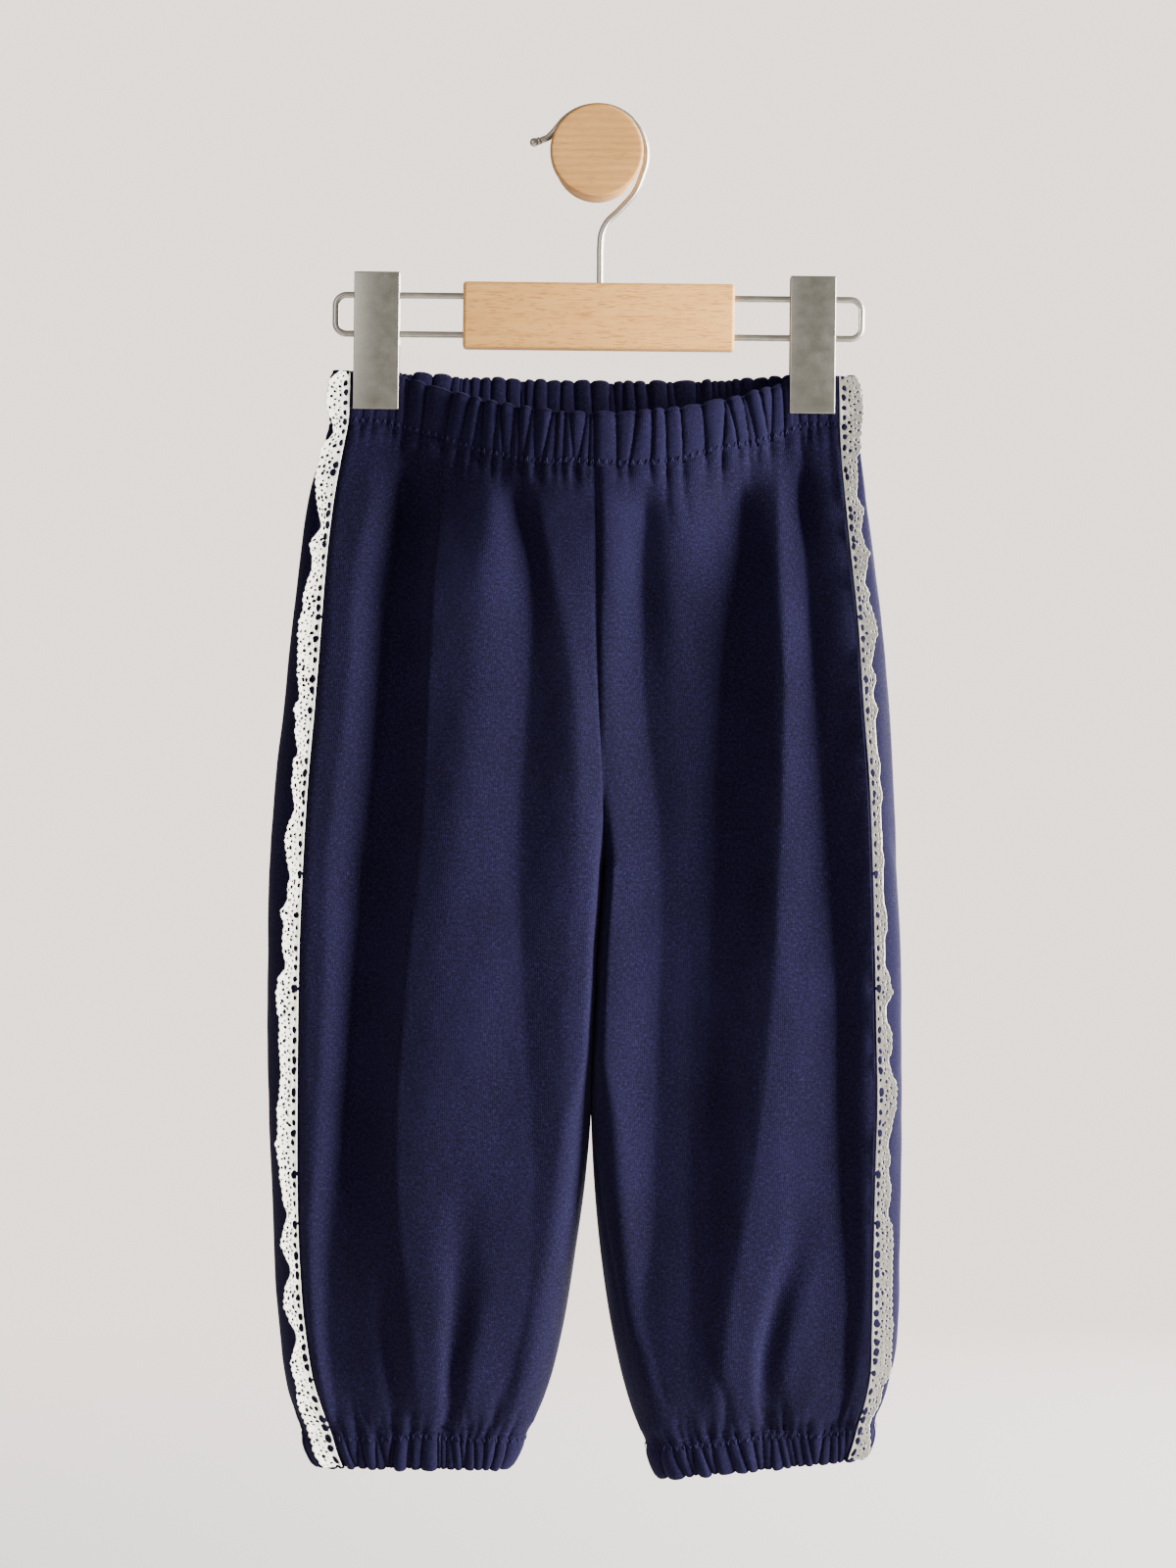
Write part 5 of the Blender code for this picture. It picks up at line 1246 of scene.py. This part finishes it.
def smooth_path(points, count):
    """Evenly spread points on a smooth curve through given ones."""
    points = np.asarray(points, float)
    reach = np.append(0, np.cumsum(np.linalg.norm(np.diff(points, axis=0), axis=1)))
    places = np.linspace(0, reach[-1], count)
    return np.stack([through(reach, points[:, i], places) for i in range(points.shape[1])], axis=1)


def hang(made):
    """Places an object that is made about the middle of the hanger's wooden bar."""
    made.location = Vector((HANGER_X, HANG_Y, HANG_RISE - HANGER_DOWN)) * MM
    made.rotation_euler = (0, HANGER_TILT, 0)
    bpy.context.view_layer.update()
    return made


def wire(name, path, radii, finish, sides=20):
    """A round wire along a path of (x, z), with its radius at each point."""
    path = np.asarray(path, float)
    run = np.gradient(path, axis=0)
    run /= np.linalg.norm(run, axis=1)[:, None]
    turn = np.linspace(0, 2 * math.pi, sides, endpoint=False)
    rings = []
    for (x, z), (dx, dz), radius in zip(path, run, radii):
        flat = [(radius * math.cos(a), radius * math.sin(a)) for a in turn]
        rings.append([(x - dz * up, out, z + dx * up) for up, out in flat])
    uv = np.zeros((len(path), sides, 2))
    return hang(skin(name, rings, uv, finish))


def hard_piece(name, body, centre, finish):
    """A hard-edged object of the hanger, from a bmesh about its own middle."""
    bmesh.ops.translate(body, vec=Vector(centre) * MM, verts=body.verts)
    data = bpy.data.meshes.new(name)
    body.to_mesh(data)
    body.free()
    data.shade_smooth()
    data.set_sharp_from_angle(angle=math.radians(CUT_EDGE))
    data.materials.append(finish)
    return hang(placed(name, data))


def rounded_block(name, size, centre, finish, edge=0.0, segments=3):
    body = bmesh.new()
    bmesh.ops.create_cube(body, size=1.0)
    bmesh.ops.scale(body, vec=Vector(size) * MM, verts=body.verts)
    if edge:
        bmesh.ops.bevel(body, geom=body.edges[:], offset=edge * MM, segments=segments, affect="EDGES",
                        profile=0.5)
    return hard_piece(name, body, centre, finish)


def round_cutter(radius, length, centre, along_x, finish):
    body = bmesh.new()
    bmesh.ops.create_cone(body, cap_ends=True, segments=32, radius1=radius * MM, radius2=radius * MM,
                          depth=length * MM)
    if along_x:
        turn = Vector((0, 0, 1)).rotation_difference(Vector((1, 0, 0)))
        bmesh.ops.rotate(body, matrix=turn.to_matrix(), verts=body.verts)
    return hard_piece("cutter", body, centre, finish)


def cut_away(target, cutters):
    """Takes the cutters out of the target and leaves its own mesh changed, with no modifier on it."""
    for cutter in cutters:
        boolean = target.modifiers.new("cut", "BOOLEAN")
        boolean.operation = "DIFFERENCE"
        boolean.object = cutter
    mesh = bpy.data.meshes.new_from_object(target.evaluated_get(bpy.context.evaluated_depsgraph_get()))
    target.modifiers.clear()
    target.data = mesh
    mesh.shade_smooth()
    mesh.set_sharp_from_angle(angle=math.radians(CUT_EDGE))
    for cutter in cutters:
        bpy.data.objects.remove(cutter)
    return target


def fine_bar(finish):
    """The wooden bar, with a socket for each end of the side loops and one for the hook."""
    bar = rounded_block("hanger_bar_wood", BAR, (0, 0, 0), finish, BAR_EDGE, 4)
    depth = SOCKET_DEPTH + CUT_PAST
    cutters = []
    for sign in (-1, 1):
        x = sign * (BAR[0] - SOCKET_DEPTH + CUT_PAST) / 2
        for z in (LOOP_UP, LOOP_LOW):
            cutters.append(round_cutter(WIRE + SOCKET_ROOM, depth, (x, 0, z), True, finish))
    z = (BAR[2] - SOCKET_DEPTH + CUT_PAST) / 2
    cutters.append(round_cutter(HOOK_WIRE + SOCKET_ROOM, depth, (HOOK_SHANK_X, 0, z), False, finish))
    return cut_away(bar, cutters)


def fine_loop(sign, finish):
    """One side loop: out along the top, round two corners and back along the bottom."""
    start = BAR[0] / 2 - SOCKET_DEPTH + SOCKET_ROOM + FOOT_ROOM
    corner = LOOP_REACH - LOOP_CORNER
    path = [(x, LOOP_UP) for x in np.linspace(start, corner - 1, 12)]
    for middle, first in ((LOOP_UP - LOOP_CORNER, 90), (LOOP_LOW + LOOP_CORNER, 0)):
        for angle in np.radians(np.linspace(first, first - 90, 10)):
            path.append((corner + LOOP_CORNER * math.cos(angle), middle + LOOP_CORNER * math.sin(angle)))
    path += [(x, LOOP_LOW) for x in np.linspace(corner - 1, start, 12)]
    side = "left" if sign < 0 else "right"
    return wire(f"hanger_wire_{side}_steel", [(sign * x, z) for x, z in path], [WIRE] * len(path), finish)


def fine_hook(finish):
    """The hook: a ball tip with a small collar, a bend over the knob's neck, an S curve and a shank."""
    bend = [
        (HOOK_CENTRE[0] + HOOK_RADIUS * math.cos(a), HOOK_CENTRE[1] + HOOK_RADIUS * math.sin(a))
        for a in np.radians(np.linspace(146, -22, 17))
    ]
    foot = [(HOOK_SHANK_X, 24.0), (HOOK_SHANK_X, BAR[2] / 2 - SOCKET_DEPTH + SOCKET_ROOM + FOOT_ROOM)]
    path = smooth_path(HOOK_TIP + bend + HOOK_NECK + foot, 180)
    run = path[0] - path[1]
    run /= np.linalg.norm(run)
    tip = [path[0] + run * place for place, _ in HOOK_BALL]
    rest = [point for point in path
            if np.dot(point - path[0], run) < -3.3 or np.linalg.norm(point - path[0]) > 6]
    radii = [radius for _, radius in HOOK_BALL] + [HOOK_WIRE] * len(rest)
    return wire("hanger_hook_steel", tip + rest, radii, finish, 22)


def fine_clip(side, face, finish):
    """One half of a clip: a plate with turned-in sides, a notch for each wire and an open jaw."""
    wide, high = CLIP
    x = CLIP_X[side]
    deep = CLIP_INNER + CLIP_SHEET - SEAM_GAP / 2
    middle = face * (SEAM_GAP / 2 + deep / 2)
    name = f"clip_{side}_{'front' if face < 0 else 'back'}_plate"
    plate = rounded_block(name, (wide, deep, high), (x, middle, -CLIP_DROP), finish, CLIP_EDGE)
    hollow = rounded_block("hollow", (wide - 2 * CLIP_SHEET, CLIP_INNER * 2, high - 2 * CLIP_SHEET),
                           (x, 0, -CLIP_DROP), finish)
    top, bottom = LOOP_LOW - CLIP_JAW_ROOM, -CLIP_DROP - high / 2 - CUT_PAST
    past = wide + 2 * CUT_PAST
    jaw = rounded_block("jaw", (past, CLIP_INNER * 2, top - bottom), (x, 0, (top + bottom) / 2), finish)
    notches = [round_cutter(WIRE + SOCKET_ROOM, past, (x, 0, z), True, finish) for z in (LOOP_UP, LOOP_LOW)]
    return cut_away(plate, [hollow, jaw, *notches])


def fine_knob(finish):
    """The turned knob: a neck that stands off the wall, with a slightly wider disc in front."""
    disc_back = KNOB_LENGTH - KNOB_DISC_THICK
    front, back = KNOB_ROUNDS
    profile = [(radius, KNOB_LENGTH) for radius in (KNOB_PIN, 8, 16, KNOB_DISC - 1.5)]
    for angle in np.radians(np.linspace(75, 0, 6)):
        radius, out = KNOB_DISC - front, KNOB_LENGTH - front
        profile.append((radius + front * math.cos(angle), out + front * math.sin(angle)))
    for angle in np.radians(np.linspace(0, -80, 5)):
        radius, out = KNOB_DISC - back, disc_back + back
        profile.append((radius + back * math.cos(angle), out + back * math.sin(angle)))
    profile += [(KNOB_NECK + 0.4, disc_back), (KNOB_NECK, disc_back - 0.4), (KNOB_NECK, 0.4),
                (KNOB_NECK - 0.4, 0.0), (KNOB_PIN, 0.0)]
    turn = np.linspace(0, 2 * math.pi, KNOB_SIDES, endpoint=False)
    rings = [[(r * math.cos(a), -out, r * math.sin(a)) for a in turn] for r, out in profile]
    made = skin("wall_knob_turned", rings, np.zeros((len(profile), KNOB_SIDES, 2)), finish)
    made.data.set_sharp_from_angle(angle=math.radians(TURNED_EDGE))
    return made


# ---------------------------------------------------------------- assembly
def stand(made, node):
    """A piece that rides with the part and, where a node is named, stands in for it."""
    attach(made, "root")
    if node:
        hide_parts(node)
    return made


def casing_stitches(name, rows, thread):
    """The stitches along a casing's seam, on the outside of its surface."""
    ring = name.startswith("hem")
    count = (CUFF_PROFILE if ring else BAND_PROFILE)[0]
    height = CUFF_BOTTOM["left"] - CUFF_TOP["left"] if ring else BAND_HEIGHT
    rows = rows[:count]
    rows = np.concatenate([rows, rows[:, :1]], axis=1) if ring else rows
    normals = facing(rows, "left")
    outwards = rows - rows.mean(axis=(0, 1)) if ring else [0, -1 if "front" in name else 1, 0]
    sign = np.sign((normals * outwards).sum())
    step = height * (1 - RIM_SHARE) / (count - 1)
    made = stitches(f"{name}_stitches", rows, normals * sign, [end / step for end in STITCH_ENDS], thread)
    return stand(made, None)


def dress_fleece(fleece, thread):
    """The panels and casings with their stitches, each by the name of its node."""
    cloth, rows = {}, {}
    for half in HALVES:
        for side in SIDES:
            cloth[f"{side}_panel_{half}"], _ = fine_panel(half, side, fleece)
        cloth[f"hem_cuff_{half}"], rows[f"hem_cuff_{half}"] = fine_cuff(half, fleece)
    for side in SIDES:
        cloth[f"waistband_{side}"], rows[f"waistband_{side}"] = fine_waistband(side, fleece)
    for node, made in cloth.items():
        stand(made, node)
    stitched = {name: casing_stitches(name, rows[name], thread)
                for name in ("waistband_front", "waistband_back", "hem_cuff_left", "hem_cuff_right")}
    return cloth, stitched


def dress_lace(ivory, thread):
    """The lace, with a few stitches that hold its ends."""
    laces = {}
    for half in HALVES:
        made, surface, normal = fine_lace(half, ivory)
        laces[half] = stand(made, f"lace_trim_{half}")
        for down, where in ((BAND_HEIGHT - 2.6, "waist"), (CUFF_TOP[half] - BAND_TOP + 1.2, "hem")):
            made = stitches(f"lace_{half}_{where}_stitches", surface + 0.3 * normal, normal,
                            (down - 0.3, down + 0.3), thread, 1.2, 0.5, 0.14)
            stand(made, None)
    return laces


def hang_up():
    """The hanger with its clips, and the knob."""
    beech = pale_wood("beech_bar", (0.80, 0.42, 0.125), (0.69, 0.33, 0.085), (0.38, 0.145, 0.035), 0.65, 0.08)
    ash = pale_wood("ash_knob", (0.58, 0.30, 0.092), (0.47, 0.225, 0.062), (0.30, 0.13, 0.035), 0.4, 0.45)
    plate = satin_nickel("nickel_plate", (0.34, 0.335, 0.29), 0.34, 0.12)
    steel = satin_nickel("nickel_wire", (0.46, 0.44, 0.385), 0.38, 0.0)
    stand(fine_bar(beech), "hanger_bar")
    stand(fine_knob(ash), "wall_knob")
    stand(fine_hook(steel), "hanger_hook")
    for sign, half in zip((-1, 1), HALVES):
        stand(fine_loop(sign, steel), f"hanger_wire_{half}")
        for face, side in zip((-1, 1), SIDES):
            stand(fine_clip(half, face, plate), f"clip_{half}_{side}")


def dress():
    thread = navy_thread()
    cloth, stitched = dress_fleece(navy_fleece(), thread)
    laces = dress_lace(cotton_lace(), thread)
    hang_up()


# ---------------------------------------------------------------- studio, in metres
FLOOR_RADIUS, FLOOR_DOWN = 2.2, 0.78
LIT = (0, -0.03, -0.30)  # the place that the lights face
CAMERA_PLACE = (-0.00405, -2.24, -0.2912)


def area_light(name, place, target, size, watts, colour):
    light = bpy.data.lights.new(name, "AREA")
    light.shape = "RECTANGLE"
    light.size, light.size_y = size
    light.energy = watts
    light.color = colour
    made = placed(name, light)
    made.location = place
    made.rotation_euler = (Vector(target) - Vector(place)).to_track_quat("-Z", "Y").to_euler()


def studio():
    """A plain pale floor that fades out at its rim, soft studio light, and the camera."""
    body = bmesh.new()
    bmesh.ops.create_circle(body, cap_ends=True, segments=96, radius=FLOOR_RADIUS)
    data = bpy.data.meshes.new("floor")
    body.to_mesh(data)
    body.free()
    floor = placed("floor", data)
    floor.location = (0, 0, -FLOOR_DOWN)
    pale = Finish("pale_floor", 0.9)
    place = pale.scaled("Object", (1 / FLOOR_RADIUS, 1 / FLOOR_RADIUS, 1))
    away = pale.node("ShaderNodeTexGradient", {"Vector": place}, gradient_type="SPHERICAL").outputs["Color"]
    seen = pale.ramp(away, (0.02, grey(0.0)), (0.75, grey(1.0)))
    pale.set(pale.shader, {"Alpha": seen, "Base Color": (0.80, 0.76, 0.735, 1)})
    data.materials.append(pale.made)
    floor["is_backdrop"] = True

    world = bpy.data.worlds.new("studio")
    bpy.context.scene.world = world
    world.use_nodes = True
    nodes, links = world.node_tree.nodes, world.node_tree.links
    seen, lit = nodes["Background"], nodes.new("ShaderNodeBackground")
    seen.inputs["Color"].default_value = (2.35, 2.04, 1.86, 1)
    seen.inputs["Strength"].default_value = 1.0
    lit.inputs["Color"].default_value = (1.0, 0.98, 0.97, 1)
    lit.inputs["Strength"].default_value = 0.12
    way, mix = nodes.new("ShaderNodeLightPath"), nodes.new("ShaderNodeMixShader")
    share = nodes.new("ShaderNodeMath")
    share.operation = "MULTIPLY_ADD"
    links.new(way.outputs["Is Glossy Ray"], share.inputs[0])
    share.inputs[1].default_value = 0.12
    links.new(way.outputs["Is Camera Ray"], share.inputs[2])
    links.new(share.outputs[0], mix.inputs["Fac"])
    links.new(lit.outputs[0], mix.inputs[1])
    links.new(seen.outputs[0], mix.inputs[2])
    links.new(mix.outputs[0], nodes["World Output"].inputs["Surface"])

    area_light("key", (3.03, -0.90, -0.10), LIT, (1.35, 2.1), 660, (1.0, 0.985, 0.955))
    area_light("fill", (-1.5, -2.1, 0.4), LIT, (1.6, 1.6), 24, (1.0, 0.985, 0.97))
    area_light("back", (1.3, 2.2, 0.5), LIT, (1.6, 1.6), 210, (1.0, 0.99, 0.98))

    camera = bpy.data.cameras.new("camera")
    camera.lens = 110
    made = placed("camera", camera)
    made.location = CAMERA_PLACE
    made.rotation_euler = (math.pi / 2, 0, 0)
    bpy.context.scene.camera = made


def write_sizes():
    boxes = {"cad": CAD_BOX, "visual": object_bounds()}
    boxes = {name: [list(low), list(high)] for name, (low, high) in boxes.items()}


dress()
studio()
write_sizes()
